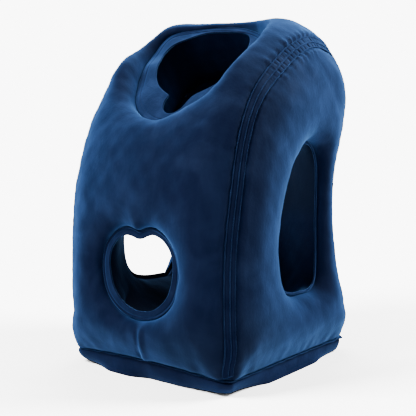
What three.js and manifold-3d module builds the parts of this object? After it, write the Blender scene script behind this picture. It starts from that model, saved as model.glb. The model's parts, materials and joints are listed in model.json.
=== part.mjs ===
// Inflatable travel pillow: a tall air-filled chamber of flocked cloth with a face opening in its
// sloping top, a heart-shaped opening in its front and an arm opening in each side.
// Millimetres, +Z up, front towards -Y, origin on the table below the middle of the pillow.

import * as THREE from 'three';
import { SimplifyModifier } from 'three/addons/modifiers/SimplifyModifier.js';
import { mergeVertices } from 'three/addons/utils/BufferGeometryUtils.js';
import Module from 'manifold-3d';

const wasm = await Module();
wasm.setup();

// Driving dimensions
const CHAMBER = { halfWidth: 153, cell: 10, triangles: 2600, halfLength: 210, top: 560, bottom: -30 };
const SHOULDER = { gain: 4, start: 300, full: 380, fade: 420, end: 480 };
const WAIST = { startY: 40, fullY: 130 };
const FOOT = { draw: 5, low: 18, high: 60 };
const BULGE = { side: 10.5, low: 20, full: 72, fade: 0.35, fadeLow: 380, fadeHigh: 470 };
const BELLY = { depth: 10, low: 20, full: 80, fade: 400, end: 460, evenness: 2.2, margin: 10 };
const CHEEK = { lift: 3.5, inner: 55, outer: 118, low: 405, high: 455, fadeY: 95, endY: 135 };
const RIDGE = { lift: 9, fromX: -100, toX: 60, startY: -30, fullY: 50, fadeY: 100, endY: 150, low: 430 };
const CROWN = { front: 4, top: 20, low: 380, high: 468, evenness: 3.6, margin: 6, footLow: 16, footHigh: 90 };
const CROWN_BACK = { less: 6, startY: 40, fullY: 110 };
const EDGE = { radius: 70, topRadius: 84, low: 380, high: 470, startY: -20, fullY: 90, foot: 20, taper: 0.8 };
const CAVITY = { halfWidth: 94, backDraw: 14, startY: 40, fullY: 100, edgeRadius: 40 };
const BASE = {
  seamHeight: 20,
  topInset: 0.5,
  sideInset: 3,
  sideHeight: 12,
  turnInset: 9,
  turnHeight: 4,
  flatInset: 20,
  cornerInset: 14,
  cornerFrom: 0.38,
  cornerFull: 0.5,
  leastReach: 60,
  mostReach: 240,
};
const BELOW = { side: 500, depth: 100 };
const BASE_RING = { inner: 5, outer: 2, ear: 5, count: 48 };
const SHEET = { thickness: 1.6, grip: 5, gap: 0.3, weld: 0.004 };
const SEAM = { width: 20, lift: 1.2, sink: 0.8, start: 25, stations: 35, deepest: 60 };
const SETTLE = { turns: 6, longest: 8, flattest: 0.05, halvings: 24 };

// The openings. depth and flare give the outside roll down to the weld line, innerDepth and
// innerFlare the roll on the lining's side
const ARM = {
  front: { depth: 29, flare: 46 },
  back: { depth: 27, flare: 34 },
  startY: 10,
  fullY: 80,
  innerDepth: 44,
  innerFlare: 60,
  unevenRight: 9,
  unevenLeft: 17,
  unevenFromY: -20,
  unevenToY: 50,
  unevenWidth: 60,
  fin: 5,
  reach: [60, 180],
  count: 32,
};
const FRONT = {
  centreHeight: 152,
  depth: 19,
  flare: 46,
  innerDepth: 40,
  innerFlare: 36,
  flange: 13,
  reach: [100, 200],
  count: 34,
};
const FACE = {
  footY: -110,
  footZ: 352,
  slopeDeg: 45.65,
  length: 223,
  low: { depth: 28, flare: 30 },
  high: { depth: 8, flare: 17 },
  shallowFrom: 140,
  rightFrom: 10,
  rightFull: 60,
  rightShallowFrom: 180,
  rightShallow: 240,
  flareFrom: 20,
  flareTo: 90,
  innerDepth: 34,
  innerFlare: 40,
  reachBelow: 90,
  reach: [-50, 70],
  count: 44,
};

// Side view of the wrap panel, from the front base corner over the top to the back base corner
const WRAP_PROFILE = [
  { y: -152, z: 10 },
  { y: -158, z: 24 },
  { y: -166, z: 48 },
  { y: -170, z: 90 },
  { y: -171, z: 150 },
  { y: -169, z: 205 },
  { y: -162, z: 258 },
  { y: -149, z: 312 },
  { y: -128, z: 361 },
  { y: -97, z: 404 },
  { y: -56, z: 440 },
  { y: -8, z: 471 },
  { y: 42, z: 490 },
  { y: 90, z: 490 },
  { y: 128, z: 474 },
  { y: 152, z: 441 },
  { y: 160, z: 398 },
  { y: 156, z: 350 },
  { y: 149, z: 300 },
  { y: 147, z: 262 },
  { y: 150, z: 215 },
  { y: 154, z: 170 },
  { y: 161, z: 125 },
  { y: 167, z: 85 },
  { y: 165, z: 50 },
  { y: 154, z: 22 },
  { y: 147, z: 10 },
];

// How far each side is drawn in near the back, by height
const WAIST_DRAW = [
  { z: 40, draw: 0 },
  { z: 90, draw: 1.7 },
  { z: 120, draw: 7.4 },
  { z: 150, draw: 11 },
  { z: 200, draw: 13.3 },
  { z: 245, draw: 12 },
  { z: 285, draw: 9.2 },
  { z: 320, draw: 6.5 },
  { z: 350, draw: 3.7 },
  { z: 400, draw: 0 },
];

// Side view of the inner space
const CAVITY_PROFILE = [
  { y: -104, z: 76 },
  { y: -116, z: 110 },
  { y: -118, z: 160 },
  { y: -112, z: 220 },
  { y: -102, z: 280 },
  { y: -80, z: 330 },
  { y: -40, z: 380 },
  { y: 10, z: 420 },
  { y: 60, z: 436 },
  { y: 88, z: 418 },
  { y: 98, z: 370 },
  { y: 94, z: 300 },
  { y: 90, z: 230 },
  { y: 92, z: 160 },
  { y: 92, z: 110 },
  { y: 82, z: 76 },
];

// Weld line of an arm opening, seen from the side
const ARM_OUTLINE = [
  { y: 35, z: 106 },
  { y: 2, z: 108 },
  { y: -26, z: 118 },
  { y: -44, z: 142 },
  { y: -51, z: 178 },
  { y: -49, z: 216 },
  { y: -39, z: 255 },
  { y: -21, z: 287 },
  { y: 4, z: 313 },
  { y: 32, z: 330 },
  { y: 58, z: 330 },
  { y: 79, z: 313 },
  { y: 91, z: 286 },
  { y: 97, z: 250 },
  { y: 97, z: 200 },
  { y: 94, z: 160 },
  { y: 89, z: 132 },
  { y: 78, z: 114 },
  { y: 58, z: 106 },
];

// Right half of the heart-shaped front weld line, as a reach from its centre at each angle from +X
const FRONT_HALF = [
  { deg: -90, reach: 68 },
  { deg: -60, reach: 70 },
  { deg: -30, reach: 73 },
  { deg: 0, reach: 73 },
  { deg: 25, reach: 74 },
  { deg: 45, reach: 72 },
  { deg: 60, reach: 69 },
  { deg: 70, reach: 66 },
  { deg: 80, reach: 61 },
  { deg: 90, reach: 57 },
];

// Face membrane's weld line, across and up the slope. Its upper left corner is pulled outwards
const FACE_WELD = [
  { x: 0, up: -4 },
  { x: 30, up: 3 },
  { x: 57, up: 20 },
  { x: 79, up: 44 },
  { x: 92, up: 74 },
  { x: 99, up: 112 },
  { x: 97, up: 150 },
  { x: 86, up: 183 },
  { x: 66, up: 202 },
  { x: 36, up: 215 },
  { x: 0, up: 220 },
  { x: -32, up: 216 },
  { x: -58, up: 212 },
  { x: -84, up: 207 },
  { x: -101, up: 198 },
  { x: -111, up: 180 },
  { x: -114, up: 158 },
  { x: -111, up: 134 },
  { x: -103, up: 106 },
  { x: -93, up: 76 },
  { x: -79, up: 44 },
  { x: -57, up: 20 },
  { x: -30, up: 3 },
];

// Hole cut in the membrane, from the nose hole round. Its left cheek ends in a sharp tip
const FACE_CUT = [
  { x: 1, up: 18 },
  { x: 11, up: 20 },
  { x: 19, up: 28 },
  { x: 22, up: 38 },
  { x: 28, up: 48 },
  { x: 39, up: 53 },
  { x: 53, up: 57 },
  { x: 66, up: 68 },
  { x: 73, up: 85 },
  { x: 75, up: 108 },
  { x: 72, up: 134 },
  { x: 70, up: 160 },
  { x: 67, up: 181 },
  { x: 60, up: 194 },
  { x: 44, up: 202 },
  { x: 27, up: 206 },
  { x: 10, up: 207 },
  { x: -14, up: 206 },
  { x: -31, up: 203 },
  { x: -52, up: 199 },
  { x: -66, up: 192 },
  { x: -74, up: 181 },
  { x: -83, up: 171 },
  { x: -88, up: 154 },
  { x: -81, up: 126 },
  { x: -70, up: 100 },
  { x: -60, up: 85 },
  { x: -49, up: 74 },
  { x: -35, up: 64 },
  { x: -23, up: 57 },
  { x: -20, up: 53 },
  { x: -21, up: 46 },
  { x: -20, up: 38 },
  { x: -16, up: 28 },
  { x: -8, up: 21 },
];

// Named colours of the velvet
const VELVET = 0x12386b;
const WELD_BLUE = 0x1d447c;

const clamp = (value, low, high) => Math.min(Math.max(value, low), high);

function smoothStep(low, high, value) {
  const t = clamp((value - low) / (high - low), 0, 1);
  return t * t * (3 - 2 * t);
}

// Intersection of two signed distances with a rounded edge
function roundedAnd(a, b, radius) {
  const u = Math.max(a + radius, 0);
  const v = Math.max(b + radius, 0);
  return Math.min(Math.max(a, b), -radius) + Math.hypot(u, v);
}

// Evenly smooth curve through the points, as a list of Vector2
function smoothCurve(points, perSpan, closed) {
  const through = points.map(([u, v]) => new THREE.Vector3(u, v, 0));
  const curve = new THREE.CatmullRomCurve3(through, closed, 'catmullrom', 0.5);
  const spans = closed ? points.length : points.length - 1;
  const samples = curve.getPoints(spans * perSpan);
  if (closed) samples.pop();
  return samples.map((p) => new THREE.Vector2(p.x, p.y));
}

// Left half of a symmetric outline added to its right half
function mirrored(half) {
  const left = half.slice(1, -1).reverse().map(([u, v]) => [-u, v]);
  return half.concat(left);
}

// Signed distance to a closed outline, negative inside it
class Outline {
  constructor(points) {
    this.points = points;
  }

  distance(u, v) {
    let nearest = Infinity;
    let inside = false;
    const count = this.points.length;
    for (let i = 0; i < count; i += 1) {
      const a = this.points[i];
      const b = this.points[(i + 1) % count];
      const ex = b.x - a.x;
      const ey = b.y - a.y;
      const t = clamp(((u - a.x) * ex + (v - a.y) * ey) / (ex * ex + ey * ey), 0, 1);
      nearest = Math.min(nearest, Math.hypot(u - a.x - t * ex, v - a.y - t * ey));
      const crosses = a.y > v !== b.y > v;
      if (crosses && u < a.x + ((v - a.y) * ex) / ey) inside = !inside;
    }
    return inside ? -nearest : nearest;
  }
}

const frontHalf = FRONT_HALF.map(({ deg, reach }) => {
  const turn = THREE.MathUtils.degToRad(deg);
  return [reach * Math.cos(turn), FRONT.centreHeight + reach * Math.sin(turn)];
});
const wrapCurve = smoothCurve(WRAP_PROFILE.map(({ y, z }) => [y, z]), 4, false);
const armCurve = smoothCurve(ARM_OUTLINE.map(({ y, z }) => [y, z]), 2, true);
const frontCurve = smoothCurve(mirrored(frontHalf), 2, true);
const faceCurve = smoothCurve(FACE_WELD.map(({ x, up }) => [x, up]), 3, true);
const faceCutCurve = smoothCurve(FACE_CUT.map(({ x, up }) => [x, up]), 2, true);

const wrap = new Outline(wrapCurve);
const cavity = new Outline(smoothCurve(CAVITY_PROFILE.map(({ y, z }) => [y, z]), 3, true));
const arm = new Outline(armCurve);
const front = new Outline(frontCurve);
const face = new Outline(faceCurve);

const SLOPE = THREE.MathUtils.degToRad(FACE.slopeDeg);
const upSlope = new THREE.Vector3(0, Math.cos(SLOPE), Math.sin(SLOPE));
const offSlope = new THREE.Vector3(0, -Math.sin(SLOPE), Math.cos(SLOPE));
const faceFoot = new THREE.Vector3(0, FACE.footY, FACE.footZ);

// How far the sides are drawn in at a height, along straight lines through the table
function waistDraw(z) {
  const above = WAIST_DRAW.findIndex((row) => row.z >= z);
  if (above <= 0) return 0;
  const [from, to] = [WAIST_DRAW[above - 1], WAIST_DRAW[above]];
  return THREE.MathUtils.lerp(from.draw, to.draw, (z - from.z) / (to.z - from.z));
}

// Half width of the chamber at a place in its side view: full of air, fuller still at the shoulder,
// drawn in at the waist behind the arm opening and at the base seam
function halfWidth(y, z) {
  const shoulder = smoothStep(SHOULDER.start, SHOULDER.full, z) - smoothStep(SHOULDER.fade, SHOULDER.end, z);
  const waist = waistDraw(z) * smoothStep(WAIST.startY, WAIST.fullY, y);
  const foot = 1 - smoothStep(FOOT.low, FOOT.high, z);
  const fading = 1 - BULGE.fade * smoothStep(BULGE.fadeLow, BULGE.fadeHigh, z);
  const bulge = BULGE.side * smoothStep(BULGE.low, BULGE.full, z) * fading;
  return CHAMBER.halfWidth + SHOULDER.gain * shoulder + bulge - waist - FOOT.draw * foot;
}

// How far the wrap panel bulges out between its side seams: a little all over, more in a belly
// below the slope, and in raised edges beside and behind the face opening
function crown(x, y, z) {
  const aside = Math.abs(x);
  const full = CROWN.top - CROWN_BACK.less * smoothStep(CROWN_BACK.startY, CROWN_BACK.fullY, y);
  const top = full * smoothStep(CROWN.low, CROWN.high, z);
  const place = Math.min(aside / (CHAMBER.halfWidth + CROWN.margin), 1);
  const foot = smoothStep(CROWN.footLow, CROWN.footHigh, z);
  const across = Math.min(aside / (CHAMBER.halfWidth + BELLY.margin), 1);
  const upright = smoothStep(BELLY.low, BELLY.full, z) * (1 - smoothStep(BELLY.fade, BELLY.end, z));
  const cheek = smoothStep(CHEEK.inner, CHEEK.outer, aside) * smoothStep(CHEEK.low, CHEEK.high, z);
  const leftwards = 1 - smoothStep(RIDGE.fromX, RIDGE.toX, x);
  const middle = smoothStep(RIDGE.startY, RIDGE.fullY, y) * (1 - smoothStep(RIDGE.fadeY, RIDGE.endY, y));
  return (CROWN.front + top) * (1 - place ** CROWN.evenness) * foot
    + BELLY.depth * (1 - across ** BELLY.evenness) * upright
    + CHEEK.lift * cheek * (1 - smoothStep(CHEEK.fadeY, CHEEK.endY, y))
    + RIDGE.lift * leftwards * middle * smoothStep(RIDGE.low, CROWN.high, z);
}

function edgeRadius(y, z) {
  const gain = smoothStep(EDGE.low, EDGE.high, z) * smoothStep(EDGE.startY, EDGE.fullY, y);
  const radius = THREE.MathUtils.lerp(EDGE.radius, EDGE.topRadius, gain);
  return Math.min(radius, EDGE.foot + EDGE.taper * Math.max(z - BASE.seamHeight, 0));
}

// Signed distance of the chamber's outer skin before any opening
function outerSkin(x, y, z) {
  const panel = wrap.distance(y, z) - crown(x, y, z);
  const side = Math.abs(x) - halfWidth(y, z);
  return roundedAnd(panel, side, edgeRadius(y, z));
}

// The same for the lining, positive in the hollow
function lining(x, y, z) {
  const draw = CAVITY.backDraw * smoothStep(CAVITY.startY, CAVITY.fullY, y);
  const side = Math.abs(x) - (CAVITY.halfWidth - draw);
  return -roundedAnd(cavity.distance(y, z), side, CAVITY.edgeRadius);
}

// The arm openings differ a little: the right one's front edge sits further back, the left one's
// further forward
function armShift(x, y) {
  const side = clamp(x / ARM.unevenWidth, -1, 1);
  const most = side > 0 ? ARM.unevenRight : ARM.unevenLeft;
  return most * side * (1 - smoothStep(ARM.unevenFromY, ARM.unevenToY, y));
}

function armRoll(y) {
  const back = smoothStep(ARM.startY, ARM.fullY, y);
  return {
    depth: THREE.MathUtils.lerp(ARM.front.depth, ARM.back.depth, back),
    flare: THREE.MathUtils.lerp(ARM.front.flare, ARM.back.flare, back),
  };
}

// The face opening's roll is deep and wide at its foot, shallow and narrow at its top. On the right
// it stays deep further up
function faceRoll(x, up) {
  const { low, high } = FACE;
  const right = smoothStep(FACE.rightFrom, FACE.rightFull, x);
  const fadeLeft = smoothStep(FACE.shallowFrom, FACE.length, up) * (1 - right);
  const fade = fadeLeft + smoothStep(FACE.rightShallowFrom, FACE.rightShallow, up) * right;
  return {
    depth: THREE.MathUtils.lerp(low.depth, high.depth, fade),
    flare: THREE.MathUtils.lerp(low.flare, high.flare, smoothStep(FACE.flareFrom, FACE.flareTo, up)),
  };
}

// The openings that reach a place: how far inside its weld line the place is, and its rolls
function openingsAt(x, y, z) {
  const point = new THREE.Vector3(x, y, z).sub(faceFoot);
  const up = point.dot(upSlope);
  const list = [{ part: ARM, inside: -arm.distance(y - armShift(x, y), z), ...armRoll(y) }];
  if (y < EDGE.startY) {
    const { depth, flare } = FRONT;
    list.push({ part: FRONT, inside: -front.distance(x, z), depth, flare });
  }
  if (point.dot(offSlope) > -FACE.reachBelow) {
    list.push({ part: FACE, inside: -face.distance(x, up), ...faceRoll(x, up) });
  }
  return list;
}

// Outer skin with its openings rolled in to the weld lines
function openedSkin(x, y, z) {
  return openingsAt(x, y, z).reduce(
    (skin, { inside, depth, flare }) => roundedAnd(skin, inside * (depth / flare), depth),
    outerSkin(x, y, z),
  );
}

function openedLining(x, y, z) {
  return openingsAt(x, y, z).reduce(
    (skin, { inside, part }) =>
      roundedAnd(skin, inside * (part.innerDepth / part.innerFlare), part.innerDepth),
    lining(x, y, z),
  );
}

// Air-filled wall between the outer skin and the lining
function chamberWall(x, y, z) {
  return Math.max(openedSkin(x, y, z), openedLining(x, y, z));
}

function gradient(field, p) {
  const step = 0.5;
  const dx = field(p.x + step, p.y, p.z) - field(p.x - step, p.y, p.z);
  const dy = field(p.x, p.y + step, p.z) - field(p.x, p.y - step, p.z);
  const dz = field(p.x, p.y, p.z + step) - field(p.x, p.y, p.z - step);
  return new THREE.Vector3(dx, dy, dz).divideScalar(2 * step);
}

// Point moved along the gradient until it lies on the field's surface
function settleOn(field, start) {
  const p = start.clone();
  for (let turn = 0; turn < SETTLE.turns; turn += 1) {
    const slope = gradient(field, p);
    const pace = field(p.x, p.y, p.z) / Math.max(slope.lengthSq(), SETTLE.flattest);
    p.addScaledVector(slope, -clamp(pace, -SETTLE.longest, SETTLE.longest));
  }
  return p;
}

// Point that lies closest to all the tangent planes of a cell's crossings, so that the weld lines
// stay sharp. A weak pull holds it near the middle of the crossings
function cornerOfPlanes(field, crossings) {
  const middle = new THREE.Vector3();
  crossings.forEach((p) => middle.addScaledVector(p, 1 / crossings.length));
  const pull = 0.06;
  const rows = [[pull, 0, 0], [0, pull, 0], [0, 0, pull]];
  const target = new THREE.Vector3();
  for (const p of crossings) {
    const n = gradient(field, p).normalize();
    const miss = n.dot(p.clone().sub(middle));
    const parts = n.toArray();
    rows.forEach((row, r) => parts.forEach((part, c) => {
      row[c] += parts[r] * part;
    }));
    target.addScaledVector(n, miss);
  }
  const matrix = new THREE.Matrix3().set(...rows.flat()).invert();
  return target.applyMatrix3(matrix).clampLength(0, CHAMBER.cell).add(middle);
}

// Grid of the field's values over a box, and the place of each grid point
class FieldGrid {
  constructor(field, low, high, cell) {
    this.field = field;
    this.low = low;
    this.cell = cell;
    this.counts = low.map((value, k) => Math.ceil((high[k] - value) / cell) + 1);
    this.values = new Float64Array(this.counts[0] * this.counts[1] * this.counts[2]);
    this.eachPoint(0, (at) => {
      this.values[this.index(at)] = field(...this.place(at));
    });
  }

  index([i, j, k]) {
    return (i * this.counts[1] + j) * this.counts[2] + k;
  }

  place(at) {
    return at.map((step, k) => this.low[k] + step * this.cell);
  }

  value(at) {
    return this.values[this.index(at)];
  }

  // Runs over all grid points that lie at least margin steps inside the box
  eachPoint(margin, use) {
    const [ni, nj, nk] = this.counts.map((count) => count - margin);
    for (let i = margin; i < ni; i += 1) {
      for (let j = margin; j < nj; j += 1) {
        for (let k = margin; k < nk; k += 1) use([i, j, k]);
      }
    }
  }

  // Where the surface crosses the edge between two neighbouring grid points, if it does
  crossing(a, b) {
    const [fa, fb] = [this.value(a), this.value(b)];
    if (fa < 0 === fb < 0) return null;
    const [from, to] = [new THREE.Vector3(...this.place(a)), new THREE.Vector3(...this.place(b))];
    return from.lerp(to, fa / (fa - fb));
  }

  // All crossings on the twelve edges of the cell that starts at a grid point
  cellCrossings(at) {
    const found = [];
    for (let axis = 0; axis < 3; axis += 1) {
      for (let side = 0; side < 4; side += 1) {
        const a = [...at];
        a[(axis + 1) % 3] += side % 2;
        a[(axis + 2) % 3] += Math.floor(side / 2);
        const b = [...a];
        b[axis] += 1;
        const point = this.crossing(a, b);
        if (point) found.push(point);
      }
    }
    return found;
  }
}

// Faceted surface of a field: one corner in each cell that the surface passes through, and two
// triangles across each grid edge that it crosses
function netOf(field, low, high, cell) {
  const grid = new FieldGrid(field, low, high, cell);
  const corners = [];
  const cornerAt = new Map();
  const cellCorner = (at) => {
    const key = grid.index(at);
    if (!cornerAt.has(key)) {
      cornerAt.set(key, corners.length);
      corners.push(cornerOfPlanes(field, grid.cellCrossings(at)));
    }
    return cornerAt.get(key);
  };
  const triangles = [];
  grid.eachPoint(1, (at) => {
    for (let axis = 0; axis < 3; axis += 1) {
      const next = at.map((step, k) => step + Number(k === axis));
      if (next[axis] >= grid.counts[axis] - 1 || !grid.crossing(at, next)) continue;
      const ring = [[0, 0], [1, 0], [1, 1], [0, 1]].map(([s, t]) => {
        const cellStart = [...at];
        cellStart[(axis + 1) % 3] -= s;
        cellStart[(axis + 2) % 3] -= t;
        return cellCorner(cellStart);
      });
      if (grid.value(at) >= 0) ring.reverse();
      triangles.push([ring[0], ring[1], ring[2]], [ring[0], ring[2], ring[3]]);
    }
  });
  return { corners, triangles };
}

// The net with its flat places in fewer, larger triangles
async function simplified({ corners, triangles }, wanted) {
  const geometry = new THREE.BufferGeometry().setFromPoints(corners);
  geometry.setIndex(triangles.flat());
  const surplus = Math.round(corners.length * (1 - wanted / triangles.length));
  return new SimplifyModifier().modify(geometry, surplus);
}

function solidOfMesh(positions, indices) {
  const mesh = new wasm.Mesh({
    numProp: 3,
    vertProperties: new Float32Array(positions),
    triVerts: new Uint32Array(indices),
  });
  return new wasm.Manifold(mesh);
}

function solidOf(corners, triangles) {
  return solidOfMesh(corners.flatMap((p) => p.toArray()), triangles.flat());
}

// Solid of a geometry, with corners closer than the tolerance made one
function solidOfGeometry(geometry, tolerance = 1e-4) {
  const bare = geometry.clone();
  bare.deleteAttribute('normal');
  bare.deleteAttribute('uv');
  const merged = mergeVertices(bare, tolerance);
  const all = merged.index.array;
  const kept = [];
  for (let i = 0; i < all.length; i += 3) {
    const [a, b, c] = all.slice(i, i + 3);
    if (a !== b && b !== c && c !== a) kept.push(a, b, c);
  }
  return solidOfMesh(merged.attributes.position.array, kept);
}

function geometryOf(solid) {
  const mesh = solid.getMesh();
  const geometry = new THREE.BufferGeometry();
  geometry.setAttribute('position', new THREE.BufferAttribute(new Float32Array(mesh.vertProperties), 3));
  geometry.setIndex(new THREE.BufferAttribute(new Uint32Array(mesh.triVerts), 1));
  return geometry;
}

// The solid without the crumbs that a cut can leave, and with its shortest edges closed
function cleaned(solid) {
  const bodies = solidOfGeometry(geometryOf(solid), SHEET.weld).decompose();
  return bodies.reduce((best, body) => (body.volume() > best.volume() ? body : best));
}

// Closed skin over a grid of points, rows by columns: the front side, the back side and the rims.
// Rows close on themselves where loop is true
function slabSolid(frontSide, backSide, loop) {
  const rows = frontSide.length;
  const columns = frontSide[0].length;
  const corners = [...frontSide.flat(), ...backSide.flat()];
  const at = (side, r, c) => side * rows * columns + (r % rows) * columns + c;
  const triangles = [];
  const quad = (a, b, c, d) => triangles.push([a, b, c], [a, c, d]);
  const spans = loop ? rows : rows - 1;
  for (let r = 0; r < spans; r += 1) {
    for (let c = 0; c < columns - 1; c += 1) {
      quad(at(0, r, c), at(0, r, c + 1), at(0, r + 1, c + 1), at(0, r + 1, c));
      quad(at(1, r, c), at(1, r + 1, c), at(1, r + 1, c + 1), at(1, r, c + 1));
    }
    const last = columns - 1;
    quad(at(0, r, 0), at(0, r + 1, 0), at(1, r + 1, 0), at(1, r, 0));
    quad(at(0, r, last), at(1, r, last), at(1, r + 1, last), at(0, r + 1, last));
  }
  if (!loop) {
    for (let c = 0; c < columns - 1; c += 1) {
      quad(at(0, 0, c), at(1, 0, c), at(1, 0, c + 1), at(0, 0, c + 1));
      const end = rows - 1;
      quad(at(0, end, c), at(0, end, c + 1), at(1, end, c + 1), at(1, end, c));
    }
  }
  const solid = solidOf(corners, triangles);
  return solid.volume() > 0 ? solid : solidOf(corners, triangles.map(([a, b, c]) => [a, c, b]));
}

// Points spaced evenly along a closed curve, starting at its first point
function evenly(curve, count) {
  const lengths = [0];
  curve.forEach((p, i) => lengths.push(lengths[i] + p.distanceTo(curve[(i + 1) % curve.length])));
  const total = lengths[lengths.length - 1];
  let span = 0;
  return Array.from({ length: count }, (_, i) => {
    const want = (total * i) / count;
    while (lengths[span + 1] < want) span += 1;
    const t = (want - lengths[span]) / (lengths[span + 1] - lengths[span]);
    return curve[span].clone().lerp(curve[(span + 1) % curve.length], t);
  });
}

// The closed curve moved outwards by an amount, inwards where it is negative
function offsetCurve(curve, amount) {
  const count = curve.length;
  const area = THREE.ShapeUtils.area(curve);
  return curve.map((p, i) => {
    const along = curve[(i + 1) % count].clone().sub(curve[(i + count - 1) % count]).normalize();
    const out = new THREE.Vector2(along.y, -along.x).multiplyScalar(Math.sign(area) * amount);
    return p.clone().add(out);
  });
}

// Point where the line from base along direction reaches the given depth below the outer skin
function reachDepth(base, direction, depth, reach) {
  let [near, far] = reach;
  for (let turn = 0; turn < SETTLE.halvings; turn += 1) {
    const middle = (near + far) / 2;
    const p = base.clone().addScaledVector(direction, middle);
    if (outerSkin(p.x, p.y, p.z) + depth < 0) near = middle;
    else far = middle;
  }
  return base.clone().addScaledVector(direction, (near + far) / 2);
}

// Welded sheet between an outer and an inner outline. lay places an outline point on the sheet's
// middle surface, and grow makes the same sheet larger all round for the slot that grips it
function ringSheet(outer, inner, lay, normal, grow) {
  const half = SHEET.thickness / 2 + grow;
  const middle = outer.map((p, i) => {
    const overshoot = grow / p.distanceTo(inner[i]);
    return [-overshoot, 1 + overshoot].map((t) => lay(p.clone().lerp(inner[i], t)));
  });
  const shifted = (amount) => middle.map((row) => row.map((p) => p.clone().addScaledVector(normal, amount)));
  return slabSolid(shifted(half), shifted(-half), true);
}

function facePanel(grow) {
  const outer = evenly(offsetCurve(faceCurve, SHEET.grip), FACE.count);
  const inner = evenly(faceCutCurve, FACE.count);
  const lay = (p) => {
    const base = faceFoot.clone().addScaledVector(upSlope, p.y).setX(p.x);
    return reachDepth(base, offSlope, faceRoll(p.x, p.y).depth, FACE.reach);
  };
  return ringSheet(outer, inner, lay, offSlope, grow);
}

function frontRim(grow) {
  const outer = evenly(offsetCurve(frontCurve, SHEET.grip), FRONT.count);
  const inner = evenly(offsetCurve(frontCurve, -FRONT.flange), FRONT.count);
  const forward = new THREE.Vector3(0, -1, 0);
  const lay = (p) => reachDepth(new THREE.Vector3(p.x, 0, p.y), forward, FRONT.depth, FRONT.reach);
  return ringSheet(outer, inner, lay, forward, grow);
}

function armRim(side, grow) {
  const outer = evenly(offsetCurve(armCurve, SHEET.grip), ARM.count);
  const inner = evenly(offsetCurve(armCurve, -ARM.fin), ARM.count);
  const sideways = new THREE.Vector3(side, 0, 0);
  const lay = (p) => {
    const y = p.x + armShift(side * CHAMBER.halfWidth, p.x);
    return reachDepth(new THREE.Vector3(0, y, p.y), sideways, armRoll(y).depth, ARM.reach);
  };
  return ringSheet(outer, inner, lay, sideways, grow);
}

// Stations of a side seam: where the wrap panel and the side panel meet, on the rounded edge
function seamStations(side) {
  const there = SEAM.stations;
  const thereAndBack = [...wrapCurve, ...wrapCurve.slice(1, -1).reverse()];
  const stations = evenly(thereAndBack, 2 * there - 2).slice(0, there);
  return stations.map((p, i) => {
    const next = stations[Math.min(i + 1, stations.length - 1)];
    const last = stations[Math.max(i - 1, 0)];
    const along = next.clone().sub(last).normalize();
    const out = new THREE.Vector3(0, -along.y, along.x);
    let [near, far] = [0, SEAM.deepest];
    for (let turn = 0; turn < SETTLE.halvings; turn += 1) {
      const inset = (near + far) / 2;
      const y = p.x - out.y * inset;
      const z = p.y - out.z * inset;
      if (outerSkin(halfWidth(y, z) - inset, y, z) < 0) far = inset;
      else near = inset;
    }
    const [y, z] = [p.x - out.y * near, p.y - out.z * near];
    const point = new THREE.Vector3(side * (halfWidth(y, z) - near), y, z);
    return { point, across: new THREE.Vector3(side, -out.y, -out.z).normalize() };
  }).filter(({ point }) => point.z > SEAM.start);
}

function sideSeam(side, grow) {
  const rows = seamStations(side).map(({ point, across }, i, all) => {
    const end = grow * (i === 0 ? -1 : Number(i === all.length - 1));
    const neighbour = all[Math.min(i + 1, all.length - 1)].point.clone().sub(all[Math.max(i - 1, 0)].point);
    const start = point.clone().addScaledVector(neighbour.normalize(), end);
    return [-1, 0, 1].map((place) => {
      const aside = start.clone().addScaledVector(across, place * (SEAM.width / 2 + grow));
      const seat = settleOn(openedSkin, aside);
      return { seat, out: gradient(openedSkin, seat).normalize() };
    });
  });
  const lifted = (amount) => rows.map((row) =>
    row.map(({ seat, out }) => seat.clone().addScaledVector(out, amount)));
  return slabSolid(lifted(SEAM.lift + grow), lifted(-SEAM.sink - grow), false);
}

// Outline of the chamber at the base seam, with its reach from the middle at each angle
function baseOutline(count) {
  return Array.from({ length: count }, (_, i) => {
    const turn = (2 * Math.PI * i) / count;
    const [dx, dy] = [Math.cos(turn), Math.sin(turn)];
    let [near, far] = [BASE.leastReach, BASE.mostReach];
    for (let step = 0; step < SETTLE.halvings; step += 1) {
      const reach = (near + far) / 2;
      if (outerSkin(dx * reach, dy * reach, BASE.seamHeight) < 0) near = reach;
      else far = reach;
    }
    return new THREE.Vector2(dx * near, dy * near);
  });
}

// 1 at the four corners of the base and 0 along its sides
function cornerness(p) {
  const across = Math.abs(p.x * p.y) / (p.x * p.x + p.y * p.y);
  return smoothStep(BASE.cornerFrom, BASE.cornerFull, across);
}

const baseCurve = baseOutline(BASE_RING.count);

function baseSeam(grow) {
  const outer = offsetCurve(baseCurve, BASE_RING.outer).map((p) =>
    p.clone().addScaledVector(p.clone().normalize(), BASE_RING.ear * cornerness(p)));
  const inner = offsetCurve(baseCurve, -BASE_RING.inner);
  const lay = (p) => new THREE.Vector3(p.x, p.y, BASE.seamHeight);
  return ringSheet(outer, inner, lay, new THREE.Vector3(0, 0, 1), grow);
}

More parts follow.
